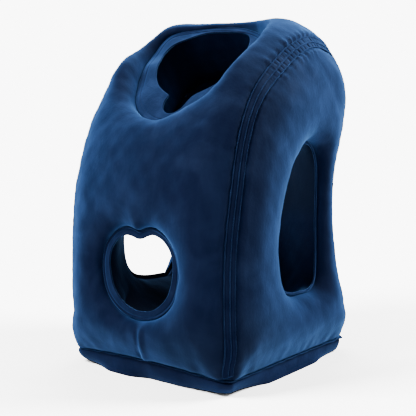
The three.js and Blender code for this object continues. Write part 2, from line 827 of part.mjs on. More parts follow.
// Base cloth and the air above it: full at the seam, rounding in to the flat that meets the table
function basePanel() {
  const rings = [
    { z: BASE.seamHeight - SHEET.gap, inset: BASE.topInset },
    { z: BASE.sideHeight, inset: BASE.sideInset },
    { z: BASE.turnHeight, inset: BASE.turnInset },
    { z: 0, inset: BASE.flatInset },
  ];
  const loops = rings.map(({ z, inset }) => baseCurve.map((p) => {
    const share = inset / BASE.flatInset;
    const pull = inset + share * BASE.cornerInset * cornerness(p);
    const q = p.clone().addScaledVector(p.clone().normalize(), -pull);
    return new THREE.Vector3(q.x, q.y, z);
  }));
  const count = baseCurve.length;
  const corners = [...loops.flat(), new THREE.Vector3(0, 0, rings[0].z), new THREE.Vector3(0, 0, 0)];
  const [topMiddle, bottomMiddle] = [corners.length - 2, corners.length - 1];
  const triangles = [];
  for (let i = 0; i < count; i += 1) {
    const j = (i + 1) % count;
    for (let r = 0; r < rings.length - 1; r += 1) {
      const [upper, lower] = [r * count, (r + 1) * count];
      triangles.push([upper + i, lower + i, lower + j], [upper + i, lower + j, upper + j]);
    }
    triangles.push([topMiddle, i, j]);
    triangles.push([bottomMiddle, (rings.length - 1) * count + j, (rings.length - 1) * count + i]);
  }
  return solidOf(corners, triangles);
}

// Everything below the base seam, taken off the chamber so that its underside is flat
function belowSeam() {
  const box = new THREE.BoxGeometry(BELOW.side, BELOW.side, BELOW.depth);
  box.translate(0, 0, BASE.seamHeight - BELOW.depth / 2);
  return solidOfGeometry(box);
}

const rims = {
  face_panel: facePanel,
  front_rim: frontRim,
  arm_rim_right: (grow) => armRim(1, grow),
  arm_rim_left: (grow) => armRim(-1, grow),
  side_seam_right: (grow) => sideSeam(1, grow),
  side_seam_left: (grow) => sideSeam(-1, grow),
  base_seam: baseSeam,
};

async function bodyChamber() {
  const reach = CHAMBER.halfLength;
  const low = [-reach, -reach, CHAMBER.bottom];
  const high = [reach, reach, CHAMBER.top];
  const net = netOf(chamberWall, low, high, CHAMBER.cell);
  let solid = solidOfGeometry(await simplified(net, CHAMBER.triangles)).subtract(belowSeam());
  for (const make of Object.values(rims)) solid = solid.subtract(make(SHEET.gap));
  return cleaned(solid);
}

const velvet = () => new THREE.MeshStandardMaterial({ color: VELVET, roughness: 0.95, metalness: 0 });
const weldedVelvet = () => new THREE.MeshStandardMaterial({ color: WELD_BLUE, roughness: 0.9, metalness: 0 });

function named(name, solid, material) {
  const geometry = geometryOf(solid);
  geometry.computeVertexNormals();
  const mesh = new THREE.Mesh(geometry, material);
  mesh.name = name;
  return mesh;
}

const pillow = new THREE.Group();
pillow.add(named('body_chamber', await bodyChamber(), velvet()));
pillow.add(named('base_panel', cleaned(basePanel().subtract(baseSeam(SHEET.gap))), velvet()));
for (const [name, make] of Object.entries(rims)) pillow.add(named(name, make(0), weldedVelvet()));

export default pillow;
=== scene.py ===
"""Looks of a tall inflatable travel pillow in dark blue flocked velvet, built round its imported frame.

Shapes are worked out in millimetres as signed distances, with the front towards -Y, and put into metres
when a mesh is made.
"""

import json
import logging
import math
from dataclasses import dataclass, field
from enum import Enum
from functools import partial
from typing import Any, Callable, Sequence

import bpy
import numpy as np
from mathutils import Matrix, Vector
from mathutils.kdtree import KDTree

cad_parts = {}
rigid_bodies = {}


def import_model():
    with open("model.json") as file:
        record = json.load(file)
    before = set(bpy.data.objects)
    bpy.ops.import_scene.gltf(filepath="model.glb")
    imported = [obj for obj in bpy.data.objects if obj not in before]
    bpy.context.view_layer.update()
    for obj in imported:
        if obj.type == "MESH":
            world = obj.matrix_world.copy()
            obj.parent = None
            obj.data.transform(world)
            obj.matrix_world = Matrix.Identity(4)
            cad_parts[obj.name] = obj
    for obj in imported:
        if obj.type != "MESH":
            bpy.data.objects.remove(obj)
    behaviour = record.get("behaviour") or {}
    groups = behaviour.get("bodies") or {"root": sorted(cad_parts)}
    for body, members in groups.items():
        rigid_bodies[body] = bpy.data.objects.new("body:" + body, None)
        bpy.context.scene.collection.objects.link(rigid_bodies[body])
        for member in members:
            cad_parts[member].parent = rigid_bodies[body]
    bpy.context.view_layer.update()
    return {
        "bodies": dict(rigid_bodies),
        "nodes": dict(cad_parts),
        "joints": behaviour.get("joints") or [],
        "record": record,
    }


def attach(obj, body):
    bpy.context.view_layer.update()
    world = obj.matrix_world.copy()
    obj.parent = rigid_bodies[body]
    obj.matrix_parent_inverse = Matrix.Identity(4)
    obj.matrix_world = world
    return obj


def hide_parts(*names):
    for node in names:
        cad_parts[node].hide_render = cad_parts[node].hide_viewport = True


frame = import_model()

log = logging.getLogger("travel_pillow")

MM = 0.001
Array = np.ndarray
Shape = Callable[[Array], Array]

# Side view of the wrap panel, (y, z) from the front base corner over the top to the back base corner
WRAP_PROFILE = (
    (-152, 10), (-158, 24), (-166, 48), (-170, 90), (-171, 150), (-169, 205), (-162, 258),
    (-149, 312), (-128, 361), (-97, 404), (-56, 440), (-8, 471), (42, 490), (90, 490),
    (128, 474), (152, 441), (160, 398), (156, 350), (149, 300), (147, 262), (150, 215),
    (154, 170), (161, 125), (167, 85), (165, 50), (154, 22), (147, 10),
)
# Side view of the hollow, (y, z)
CAVITY_PROFILE = (
    (-104, 76), (-116, 110), (-118, 160), (-112, 220), (-102, 280), (-80, 330), (-40, 380),
    (10, 420), (60, 436), (88, 418), (98, 370), (94, 300), (90, 230), (92, 160), (92, 110), (82, 76),
)
# Weld line of an arm opening, (y, z)
ARM_OUTLINE = (
    (35, 106), (2, 108), (-26, 118), (-44, 142), (-51, 178), (-49, 216), (-39, 255), (-21, 287),
    (4, 313), (32, 330), (58, 330), (79, 313), (91, 286), (97, 250), (97, 200), (94, 160),
    (89, 132), (78, 114), (58, 106),
)
# Half width added near the back, less than nothing at the waist, (height, added)
WAIST = (
    (40, 0), (90, -1.7), (120, -7.4), (150, -11), (200, -13.3), (245, -12), (285, -9.2), (320, -6.5),
    (350, -3.7), (400, 0),
)
# Right half of the heart-shaped front weld line, (degrees from +X, reach from its centre)
FRONT_HALF = (
    (-90, 68), (-60, 70), (-30, 73), (0, 73), (25, 74), (45, 72), (60, 69), (70, 66), (80, 61), (90, 57),
)
# The face membrane's weld line, (across, distance up the slope)
FACE_WELD = (
    (0, -4), (30, 3), (57, 20), (79, 44), (92, 74), (99, 112), (97, 150), (86, 183), (66, 202),
    (36, 215), (0, 220), (-32, 216), (-58, 212), (-84, 207), (-101, 198), (-111, 180), (-114, 158),
    (-111, 134), (-103, 106), (-93, 76), (-79, 44), (-57, 20), (-30, 3),
)
# Whole hole cut in the membrane, (across, distance up the slope), its left cheek ending in a sharp tip
FACE_CUT = (
    (1, 18), (11, 20), (19, 28), (22, 38), (28, 48), (39, 53), (53, 57), (66, 68), (73, 85),
    (75, 108), (70, 134), (62, 160), (54, 181), (47, 194), (39, 202), (27, 206), (10, 207),
    (-14, 206), (-31, 203), (-50, 197), (-62, 190), (-74, 181), (-83, 171),
    (-88, 154), (-81, 126), (-70, 100), (-60, 85), (-49, 74), (-35, 64), (-23, 57),
    (-20, 53), (-21, 46), (-20, 38), (-16, 28), (-8, 21),
)


def rise(low: float, high: float, value: Array) -> Array:
    """Rises smoothly from 0 at low to 1 at high."""
    t = np.clip((value - low) / (high - low), 0, 1)
    return t * t * (3 - 2 * t)


def fall(low: float, high: float, value: Array) -> Array:
    """Falls smoothly from 1 at low to 0 at high."""
    return 1 - rise(low, high, value)


def hump(value: Array, centre: Array | float, width: float) -> Array:
    """Smooth hump, 1 high at its centre."""
    return np.exp(-(((value - centre) / width) ** 2))


def rounded_and(a: Array, b: Array, radius: Array | float) -> Array:
    """Intersection of two signed distances, its edge rounded by radius."""
    u = np.maximum(a + radius, 0)
    v = np.maximum(b + radius, 0)
    return np.minimum(np.maximum(a, b), -radius) + np.sqrt(u * u + v * v)


def smooth_curve(points: Sequence[Sequence[float]], per_span: int, closed: bool) -> Array:
    """Even smooth curve through points.

    Args:
        points: The places it passes through.
        per_span: Samples between two neighbouring points.
        closed: Whether it returns to its start.

    Returns:
        The samples, one row each.
    """
    p = np.asarray(points, float)
    if closed:
        p = np.vstack([p[-1:], p, p[:2]])
    else:
        p = np.vstack([2 * p[0] - p[1], p, 2 * p[-1] - p[-2]])
    t = (np.arange(per_span) / per_span)[:, None]
    spans = [
        0.5 * (2 * b + (c - a) * t + (2 * a - 5 * b + 4 * c - d) * t**2 + (3 * b - a - 3 * c + d) * t**3)
        for a, b, c, d in zip(p, p[1:], p[2:], p[3:])
    ]
    return np.vstack(spans if closed else [*spans, p[-2:-1]])


def mirrored(half: Sequence[Sequence[float]]) -> Array:
    """Adds the left half to the right half of a symmetric outline."""
    right = np.asarray(half, float)
    return np.vstack([right, right[-2:0:-1] * (-1, 1)])


def running_length(path: Array) -> Array:
    """Length along a path at each of its points."""
    return np.concatenate([[0], np.cumsum(np.linalg.norm(np.diff(path, axis=0), axis=1))])


def points_at(path: Array, lengths: Array, wanted: Array) -> Array:
    """A path's points at the wanted lengths along it."""
    return np.stack([np.interp(wanted, lengths, column) for column in path.T], -1)


def evenly(curve: Array, spacing: float, closed: bool) -> Array:
    """The curve's points again, about spacing apart.

    Args:
        curve: Points of the curve.
        spacing: The wanted distance between two neighbours.
        closed: Whether the curve returns to its start.

    Returns:
        The points, one row each.
    """
    path = np.vstack([curve, curve[:1]]) if closed else curve
    lengths = running_length(path)
    count = max(int(round(lengths[-1] / spacing)), 8)
    wanted = np.linspace(0, lengths[-1], count + 1)
    return points_at(path, lengths, wanted[:-1] if closed else wanted)


def furthest(passes: Shape, near: Array, far: Array, rounds: int = 24) -> Array:
    """Furthest reach that passes a test, found by halving.

    Args:
        passes: Says for each reach whether it passes.
        near: Reaches that pass.
        far: Reaches that don't.
        rounds: How often the span between them is halved.

    Returns:
        The reaches.
    """
    for _ in range(rounds):
        middle = (near + far) / 2
        good = passes(middle)
        near = np.where(good, middle, near)
        far = np.where(good, far, middle)
    return near


def offset_curve(curve: Array, amount: Array | float) -> Array:
    """The closed flat curve moved outwards by amount, inwards where that is negative.

    Args:
        curve: The curve's points.
        amount: How far each of them moves.

    Returns:
        The moved points.
    """
    along = np.roll(curve, -1, 0) - np.roll(curve, 1, 0)
    along /= np.linalg.norm(along, axis=1, keepdims=True)
    area = np.sum(curve[:, 0] * np.roll(curve[:, 1], -1) - curve[:, 1] * np.roll(curve[:, 0], -1))
    out = np.stack([along[:, 1], -along[:, 0]], -1) * np.sign(area)
    return curve + out * amount


class DistanceMap:
    """Signed distance to a closed flat outline, negative inside it, kept on a fine grid."""

    def __init__(self, outline: Array, step: float = 2.0, margin: float = 140.0) -> None:
        """Measures the outline's distance at every grid point.

        Args:
            outline: The outline's points.
            step: The grid's spacing.
            margin: How far the grid goes past the outline.
        """
        self.step = step
        self.low = outline.min(0) - margin
        counts = np.ceil((outline.max(0) + margin - self.low) / step).astype(int) + 1
        u = self.low[0] + step * np.arange(counts[0])[:, None]
        v = self.low[1] + step * np.arange(counts[1])[None, :]
        nearest = np.full(counts, np.inf)
        inside = np.zeros(counts, bool)
        for (au, av), (bu, bv) in zip(outline, np.roll(outline, -1, 0)):
            eu, ev = bu - au, bv - av
            t = np.clip(((u - au) * eu + (v - av) * ev) / (eu * eu + ev * ev), 0, 1)
            nearest = np.minimum(nearest, (u - au - t * eu) ** 2 + (v - av - t * ev) ** 2)
            if ev != 0:
                inside ^= ((av > v) != (bv > v)) & (u < au + (v - av) * eu / ev)
        self.values = np.where(inside, -1, 1) * np.sqrt(nearest)

    def __call__(self, u: Array, v: Array) -> Array:
        """Distance at each (u, v).

        Args:
            u: First co-ordinates.
            v: Second co-ordinates.

        Returns:
            The distances.
        """
        last = np.array(self.values.shape) - 1.001  # just short of the last grid line
        fu = np.clip((u - self.low[0]) / self.step, 0, last[0])
        fv = np.clip((v - self.low[1]) / self.step, 0, last[1])
        i, j = fu.astype(int), fv.astype(int)
        a, b = fu - i, fv - j
        d = self.values
        lower = d[i, j] * (1 - a) + d[i + 1, j] * a
        upper = d[i, j + 1] * (1 - a) + d[i + 1, j + 1] * a
        return lower * (1 - b) + upper * b


class Side(Enum):
    """The user's right and left."""

    RIGHT = 1
    LEFT = -1


@dataclass(frozen=True)
class Roll:
    """How the cloth rolls in to a weld line: its depth and its flare, outside and on the lining's side."""

    depth: Array | float
    flare: Array | float
    lining_depth: float
    lining_flare: float

    def skin(self, shape: Array, inside: Array) -> Array:
        """The outer skin rolled in, at places so far inside the weld line."""
        return rounded_and(shape, inside * (self.depth / self.flare), self.depth)

    def lining(self, shape: Array, inside: Array) -> Array:
        """The lining rolled in, at places so far inside the weld line."""
        return rounded_and(shape, inside * (self.lining_depth / self.lining_flare), self.lining_depth)


@dataclass
class PillowForm:
    """The inflated pillow as signed distances in millimetres, negative in the air-filled wall."""

    per_span: int = 12
    half_width: float = 153.0
    edge_radius: float = 68.0
    top_edge_radius: float = 78.0
    panel_bulge: float = 10.5
    seam_height: float = 19.0
    foot_radius: float = 8.0
    hollow_half_width: float = 94.0
    hollow_back_draw: float = 14.0
    hollow_radius: float = 40.0
    face_foot: tuple[float, float, float] = (0.0, -110.0, 352.0)
    up_slope: tuple[float, float, float] = (0.0, 0.69907, 0.71505)
    off_slope: tuple[float, float, float] = (0.0, -0.71505, 0.69907)
    face_length: float = 223.0
    front_centre: float = 152.0
    front_roll: Roll = Roll(19, 46, 40, 36)
    arm_lining: tuple[float, float] = (44, 60)
    face_lining: tuple[float, float] = (34, 40)
    far_side: float = -200.0

    def __post_init__(self) -> None:
        """Draws the outlines and measures their distance maps."""
        front_half = [
            (r * math.cos(math.radians(a)), self.front_centre + r * math.sin(math.radians(a)))
            for a, r in FRONT_HALF
        ]
        self.wrap_curve = smooth_curve(WRAP_PROFILE, self.per_span, False)
        self.waist = smooth_curve(WAIST, self.per_span, False)
        self.arm_curve, self.front_curve, self.face_curve, self.face_cut_curve, hollow = (
            smooth_curve(outline, self.per_span, True)
            for outline in (ARM_OUTLINE, mirrored(front_half), FACE_WELD, FACE_CUT, CAVITY_PROFILE)
        )
        self.wrap, self.cavity, self.arm, self.front, self.face = (
            DistanceMap(curve)
            for curve in (self.wrap_curve, hollow, self.arm_curve, self.front_curve, self.face_curve)
        )

    def width(self, y: Array, z: Array) -> Array:
        """Half width: fuller at the shoulder, drawn in at the waist and at the foot.

        Args:
            y: Places from front to back.
            z: Heights.

        Returns:
            The half widths.
        """
        shoulder = rise(300, 380, z) - rise(420, 480, z)
        waist = np.interp(z, self.waist[:, 0], self.waist[:, 1]) * rise(40, 130, y)
        foot = fall(18, 60, z)
        chest = hump(z, 270, 70) * fall(-70, 10, y)
        bulge = self.panel_bulge * rise(20, 72, z) * (1 - 0.35 * rise(380, 470, z))
        return self.half_width + 4 * shoulder + waist - 5 * foot + 3 * chest + bulge

    def crown(self, x: Array, y: Array, z: Array) -> Array:
        """How far the wrap panel bulges out between its side seams.

        Args:
            x: Places across.
            y: Places from front to back.
            z: Heights.

        Returns:
            The bulge at each place.
        """
        top = (20 - 6 * rise(40, 110, y)) * rise(380, 466, z)
        across = 1 - np.minimum(np.abs(x) / (self.half_width + 6), 1) ** 3.6
        belly = 10 * (1 - np.minimum(np.abs(x) / (self.half_width + 10), 1) ** 2.2)
        belly *= fall(400, 460, z) * rise(20, 80, z)
        cheek = rise(55, 118, np.abs(x)) * rise(405, 455, z) * fall(95, 135, y)
        cheek = cheek * (3.5 + 5 * rise(60, 120, -x) * fall(30, 90, y))
        ridge = 9 * fall(-100, 60, x)
        ridge *= rise(-30, 50, y) * fall(100, 150, y)
        ridge *= rise(430, 470, z)
        return (4 + top) * across * rise(16, 90, z) + belly + cheek + ridge

    def outer(self, p: Array) -> Array:
        """Outer skin before any opening.

        Args:
            p: The points, one row each.

        Returns:
            The signed distances.
        """
        x, y, z = p.T
        panel = self.wrap(y, z) - self.crown(x, y, z)
        side = np.abs(x) - self.width(y, z)
        gain = rise(380, 470, z) * rise(-20, 90, y)
        radius = self.edge_radius + (self.top_edge_radius - self.edge_radius) * gain
        radius -= 11 * rise(60, 110, -x) * rise(370, 430, z) * fall(50, 120, y)
        radius = np.minimum(radius, 20 + 0.8 * np.maximum(z - self.seam_height, 0))
        return rounded_and(panel, side, radius)

    def lining(self, p: Array) -> Array:
        """Lining before any opening, positive in the hollow.

        Args:
            p: The points, one row each.

        Returns:
            The signed distances.
        """
        x, y, z = p.T
        side = np.abs(x) - (self.hollow_half_width - self.hollow_back_draw * rise(40, 100, y))
        halves = 9 * (1 - hump(x, 0, 13)) * rise(30, 80, y) * rise(300, 360, z)
        return -rounded_and(self.cavity(y, z) + halves, side, self.hollow_radius)

    def arm_shift(self, x: Array, y: Array, z: Array) -> Array:
        """How far back the right arm opening's front edge sits, and how far forward the left one's.

        Args:
            x: Places across.
            y: Places from front to back.
            z: Heights.

        Returns:
            The shifts.
        """
        side = np.clip(x / 60, -1, 1)
        corner = rise(30, 85, y) * fall(100, 195, z)
        front = np.where(x > 0, 9, 17) * side * fall(-20, 50, y)
        return front + 32 * np.minimum(side, 0) * corner

    def arm_roll(self, y: Array) -> tuple[Array, Array]:
        """Depth and flare of an arm opening's outside roll."""
        back = rise(10, 80, y)
        return 29 - 2 * back, 46 - 12 * back

    def face_roll(self, x: Array, up: Array) -> tuple[Array, Array]:
        """Depth and flare of the face opening's outside roll: deep at its foot, shallow at its top.

        Args:
            x: Places across.
            up: Distances up the slope.

        Returns:
            The depths and the flares.
        """
        right = rise(10, 60, x)
        fade = rise(140, self.face_length, up) * (1 - right) + rise(180, 240, up) * right
        return 28 - 20 * fade - 4 * right * fall(30, 90, up), 30 - 13 * rise(20, 90, up)

    def slope_place(self, p: Array) -> tuple[Array, Array]:
        """Distance up the face opening's slope, and off it."""
        from_foot = p - self.face_foot
        return from_foot @ self.up_slope, from_foot @ self.off_slope

    def openings(self, p: Array) -> list[tuple[Array, Roll]]:
        """Each opening's depth inside its weld line at p, with its rolls.

        Args:
            p: The points, one row each.

        Returns:
            For each opening the depths and the roll.
        """
        x, y, z = p.T
        up, off = self.slope_place(p)
        front = np.where(y < -20, -self.front(x, z), self.far_side)
        face = np.where(off > -90, -self.face(x, up), self.far_side)
        return [
            (-self.arm(y - self.arm_shift(x, y, z), z), Roll(*self.arm_roll(y), *self.arm_lining)),
            (front, self.front_roll),
            (face, Roll(*self.face_roll(x, up), *self.face_lining)),
        ]

    def outside(self, p: Array) -> Array:
        """Outer skin with its openings rolled in to their weld lines.

        Args:
            p: The points, one row each.

        Returns:
            The signed distances.
        """
        skin = self.outer(p)
        for inside, roll in self.openings(p):
            skin = roll.skin(skin, inside)
        return skin

    def wall(self, p: Array) -> Array:
        """The whole chamber, closed at the base seam by a small roll.

        Args:
            p: The points, one row each.

        Returns:
            The signed distances.
        """
        skin, inner = self.outer(p), self.lining(p)
        for inside, roll in self.openings(p):
            skin = roll.skin(skin, inside)
            inner = roll.lining(inner, inside)
        foot = self.seam_level(p[:, 0], p[:, 1]) - p[:, 2]
        return np.maximum(rounded_and(skin, foot, self.foot_radius), inner)

    def seam_level(self, x: Array, y: Array) -> Array:
        """Height of the base seam, arched up in the middle of the front and a little at the back.

        Args:
            x: Places across.
            y: Places from front to back.

        Returns:
            The heights.
        """
        across = np.clip(1 - (x / 150) ** 2, 0, 1)
        front = 8 * fall(-150, -70, y)
        back = 4 * rise(70, 150, y)
        sides = 2 * np.clip(1 - (y / 150) ** 2, 0, 1)
        return self.seam_height + (front + back) * across + sides


def slope_of(shape: Shape, p: Array, step: float = 0.6) -> Array:
    """Gradient of a shape at each point.

    Args:
        shape: The signed distance.
        p: The points.
        step: How far to each side it is measured.

    Returns:
        The gradients, one row each.
    """
    parts = []
    for axis in range(3):
        shift = np.zeros(3)
        shift[axis] = step
        parts.append((shape(p + shift) - shape(p - shift)) / (2 * step))
    return np.stack(parts, -1)


def unit(v: Array) -> Array:
    """Each row at length 1."""
    return v / np.maximum(np.linalg.norm(v, axis=-1, keepdims=True), 1e-9)


def settle(shape: Shape, p: Array, rounds: int = 4, limit: float = 6.0) -> Array:
    """Points moved on to the shape's surface.

    Args:
        shape: The signed distance.
        p: Points near its surface.
        rounds: How often each is moved.
        limit: The longest single move.

    Returns:
        The moved points.
    """
    p = p.copy()
    for _ in range(rounds):
        slope = slope_of(shape, p)
        pace = shape(p) / np.maximum((slope * slope).sum(-1), 0.05)
        p -= slope * np.clip(pace, -limit, limit)[:, None]
    return p


def surface_net(shape: Shape, low: Array, high: Array, cell: float) -> tuple[Array, Array]:
    """Quads over a shape's surface, one corner in each cell that it passes through.

    Args:
        shape: The signed distance.
        low: Lowest corner of the box to search.
        high: Highest corner of that box.
        cell: Side of a cell.

    Returns:
        The corners and the quads' corner numbers, facing out.
    """
    axes = [np.arange(a, b + cell, cell) for a, b in zip(low, high)]
    grid = np.stack(np.meshgrid(*axes, indexing="ij"), -1)
    values = shape(grid.reshape(-1, 3)).reshape(grid.shape[:3])
    counts = np.array(values.shape)
    total = np.zeros((*(counts - 1), 3))
    hits = np.zeros(counts - 1)
    crossings = []
    for axis in range(3):
        start = tuple(slice(0, -1) if k == axis else slice(None) for k in range(3))
        end = tuple(slice(1, None) if k == axis else slice(None) for k in range(3))
        crossed = (values[start] < 0) != (values[end] < 0)
        share = np.where(crossed, values[start] / np.where(crossed, values[start] - values[end], 1), 0)
        place = grid[start] + share[..., None] * (np.arange(3) == axis) * cell
        crossings.append(crossed)
        for u in (0, 1):
            for v in (0, 1):
                near = [slice(None)] * 3
                near[(axis + 1) % 3] = slice(u, u + counts[(axis + 1) % 3] - 1)
                near[(axis + 2) % 3] = slice(v, v + counts[(axis + 2) % 3] - 1)
                total += np.where(crossed[tuple(near)][..., None], place[tuple(near)], 0)
                hits += crossed[tuple(near)]
    number = np.full(hits.shape, -1)
    number[hits > 0] = np.arange(np.count_nonzero(hits))
    corners = total[hits > 0] / hits[hits > 0][:, None]
    quads = []
    for axis, crossed in enumerate(crossings):
        at = np.argwhere(crossed)
        inner = (at > 0).all(1) & (at < counts - 1).all(1)
        at = at[inner]
        u, v = np.eye(3, dtype=int)[(axis + 1) % 3], np.eye(3, dtype=int)[(axis + 2) % 3]
        ring = np.stack([number[tuple((at - shift).T)] for shift in (0 * u, u, u + v, v)], -1)
        outwards = values[tuple(at.T)] < 0
        quads.append(np.where(outwards[:, None], ring, ring[:, ::-1]))
    return corners, np.vstack(quads)


def neighbour_mean(p: Array, quads: Array) -> Array:
    """Mean of each corner's neighbours along the quads' edges.

    Args:
        p: The corners.
        quads: Corner numbers of each quad.

    Returns:
        The means, one row each.
    """
    a = quads.ravel()
    b = np.roll(quads, -1, 1).ravel()
    ends, others = np.concatenate([a, b]), np.concatenate([b, a])
    count = np.bincount(ends, minlength=len(p))
    sums = [np.bincount(ends, p[others, k], len(p)) for k in range(3)]
    return np.stack(sums, -1) / np.maximum(count, 1)[:, None]


def plane_waves(p: Array, length: float, seed: int, count: int = 7) -> Array:
    """Smooth seeded unevenness between about -1 and 1, with waves of about the given length.

    Args:
        p: Places, one row each.
        length: Length of a wave.
        seed: Number that the waves are drawn from.
        count: How many waves are added up.

    Returns:
        The unevenness at each place.
    """
    draw = np.random.default_rng(seed)
    total = np.zeros(len(p))
    for _ in range(count):
        direction = unit(draw.normal(size=p.shape[1])) * 2 * math.pi / (length * draw.uniform(0.7, 1.5))
        total += np.sin(p @ direction + draw.uniform(0, 2 * math.pi))
    return total / math.sqrt(count) * 0.8


def add_object(name: str, data: bpy.types.ID) -> bpy.types.Object:
    """A new object of the scene, at the origin."""
    made = bpy.data.objects.new(name, data)
    bpy.context.scene.collection.objects.link(made)
    return made


def mesh_object(name: str, corners: Array, faces: Array) -> bpy.types.Object:
    """A smooth mesh piece at the origin.

    Args:
        name: Its name.
        corners: Its corners in millimetres.
        faces: The corner numbers of each face.

    Returns:
        The piece.
    """
    mesh = bpy.data.meshes.new(name)
    mesh.from_pydata((corners * MM).tolist(), [], faces.tolist())
    mesh.polygons.foreach_set("use_smooth", [True] * len(mesh.polygons))
    mesh.update()
    return add_object(name, mesh)


def grid_faces(rows: int, columns: int, loop: bool, first: int = 0) -> Array:
    """Quads of a grid of corners, whose rows come back to the first one where loop is true."""
    r = np.arange(rows if loop else rows - 1)[:, None]
    c = np.arange(columns - 1)[None, :]
    a, b = r * columns + c, ((r + 1) % rows) * columns + c
    return np.stack([a, a + 1, b + 1, b], -1).reshape(-1, 4) + first


def slab(front: Array, back: Array, loop: bool) -> tuple[Array, Array]:
    """Closed skin over two grids of points.

    Args:
        front: The seen side's points, rows by columns by 3.
        back: The hidden side's points, laid out the same.
        loop: Whether the last row joins the first.

    Returns:
        The corners and the quads, facing out where front's rows turn right to left.
    """
    rows, columns = front.shape[:2]
    size = rows * columns
    faces = [grid_faces(rows, columns, loop), grid_faces(rows, columns, loop, size)[:, ::-1]]
    r = np.arange(rows if loop else rows - 1)
    for c, turn in ((0, 1), (columns - 1, -1)):
        a, b = r * columns + c, ((r + 1) % rows) * columns + c
        faces.append(np.stack([a, b, b + size, a + size], -1)[:, ::turn])
    if not loop:
        for row, turn in ((0, -1), (rows - 1, 1)):
            a = row * columns + np.arange(columns - 1)
            faces.append(np.stack([a, a + 1, a + 1 + size, a + size], -1)[:, ::turn])
    return np.vstack([front.reshape(-1, 3), back.reshape(-1, 3)]), np.vstack(faces)


def volume_of(corners: Array, faces: Array) -> float:
    """Signed volume inside a closed mesh of quads."""
    a, b, c, d = (corners[faces[:, k]] for k in range(4))
    return float((np.cross(a, b) * c).sum() + (np.cross(a, c) * d).sum()) / 6


def closed_slab(name: str, front: Array, back: Array, loop: bool) -> bpy.types.Object:
    """A slab as a mesh piece whose faces point outwards."""
    corners, faces = slab(front, back, loop)
    if volume_of(corners, faces) < 0:
        faces = faces[:, ::-1]
    return mesh_object(name, corners, faces)


def add_node(
    tree: bpy.types.NodeTree, kind: str, settings: dict[str, Any], inputs: dict[Any, Any]
) -> bpy.types.Node:
    """Adds a node to a tree.

    Args:
        tree: The node tree.
        kind: The node's type.
        settings: Its own options, set first.
        inputs: Numbers, colours or sockets by input name or number.

    Returns:
        The node.
    """
    made = tree.nodes.new(kind)
    for key, value in settings.items():
        setattr(made, key, value)
    for key, value in inputs.items():
        source = value.value if isinstance(value, Socket) else value
        if isinstance(source, bpy.types.NodeSocket):
            tree.links.new(source, made.inputs[key])
        else:
            made.inputs[key].default_value = source
    return made


class Socket:
    """A shader socket whose operators add Math nodes."""

    def __init__(self, shader: "Shader", value: bpy.types.NodeSocket) -> None:
        """Keeps the shader and the socket."""
        self.shader = shader
        self.value = value

    def _math(self, operation: str, *values: Any) -> "Socket":
        """Adds one Math node."""
        return self.shader.node("ShaderNodeMath", {"operation": operation}, dict(enumerate(values)))

    def __add__(self, other: Any) -> "Socket":
        """Sum."""
        return self._math("ADD", self, other)

    def __mul__(self, other: Any) -> "Socket":
        """Product."""
        return self._math("MULTIPLY", self, other)

    def __sub__(self, other: Any) -> "Socket":
        """Difference."""
        return self._math("SUBTRACT", self, other)

    def __rsub__(self, other: Any) -> "Socket":
        """Difference from a number."""
        return self._math("SUBTRACT", other, self)

    __radd__ = __add__
    __rmul__ = __mul__

    def band(self, low: float, high: float) -> "Socket":
        """Rises smoothly from 0 at low to 1 at high."""
        settings = {"interpolation_type": "SMOOTHSTEP"}
        return self.shader.node("ShaderNodeMapRange", settings, {0: self, 1: low, 2: high})


class Shader:
    """A material's node tree."""

    def __init__(self, name: str) -> None:
        """Starts an empty material."""
        self.material = bpy.data.materials.new(name)
        self.material.use_nodes = True
        self.tree = self.material.node_tree
        self.tree.nodes.clear()

    def node(
        self, kind: str, settings: dict[str, Any], inputs: dict[Any, Any], output: int | str = 0
    ) -> Socket:
        """Adds a node.

        Args:
            kind: Its type.
            settings: Its own options, set first.
            inputs: Numbers, colours or sockets by input name or number.
            output: Name or number of the wanted output.

        Returns:
            That output.
        """
        return Socket(self, add_node(self.tree, kind, settings, inputs).outputs[output])

    def noise(self, place: Socket, scale: float, detail: float, distortion: float = 0.0) -> Socket:
        """Noise between 0 and 1 at a place."""
        values = {"Vector": place, "Scale": scale, "Detail": detail, "Distortion": distortion}
        return self.node("ShaderNodeTexNoise", {}, values)

    def mix(self, share: Socket, a: Sequence[float] | Socket, b: Sequence[float] | Socket) -> Socket:
        """Blends two colours."""
        return self.node("ShaderNodeMix", {"data_type": "RGBA"}, {0: share, 6: a, 7: b}, 2)

    def surface(self, shader: Socket) -> bpy.types.Material:
        """Gives the material its surface shader, and returns it."""
        add_node(self.tree, "ShaderNodeOutputMaterial", {}, {"Surface": shader})
        return self.material


Colour = tuple[float, float, float, float]


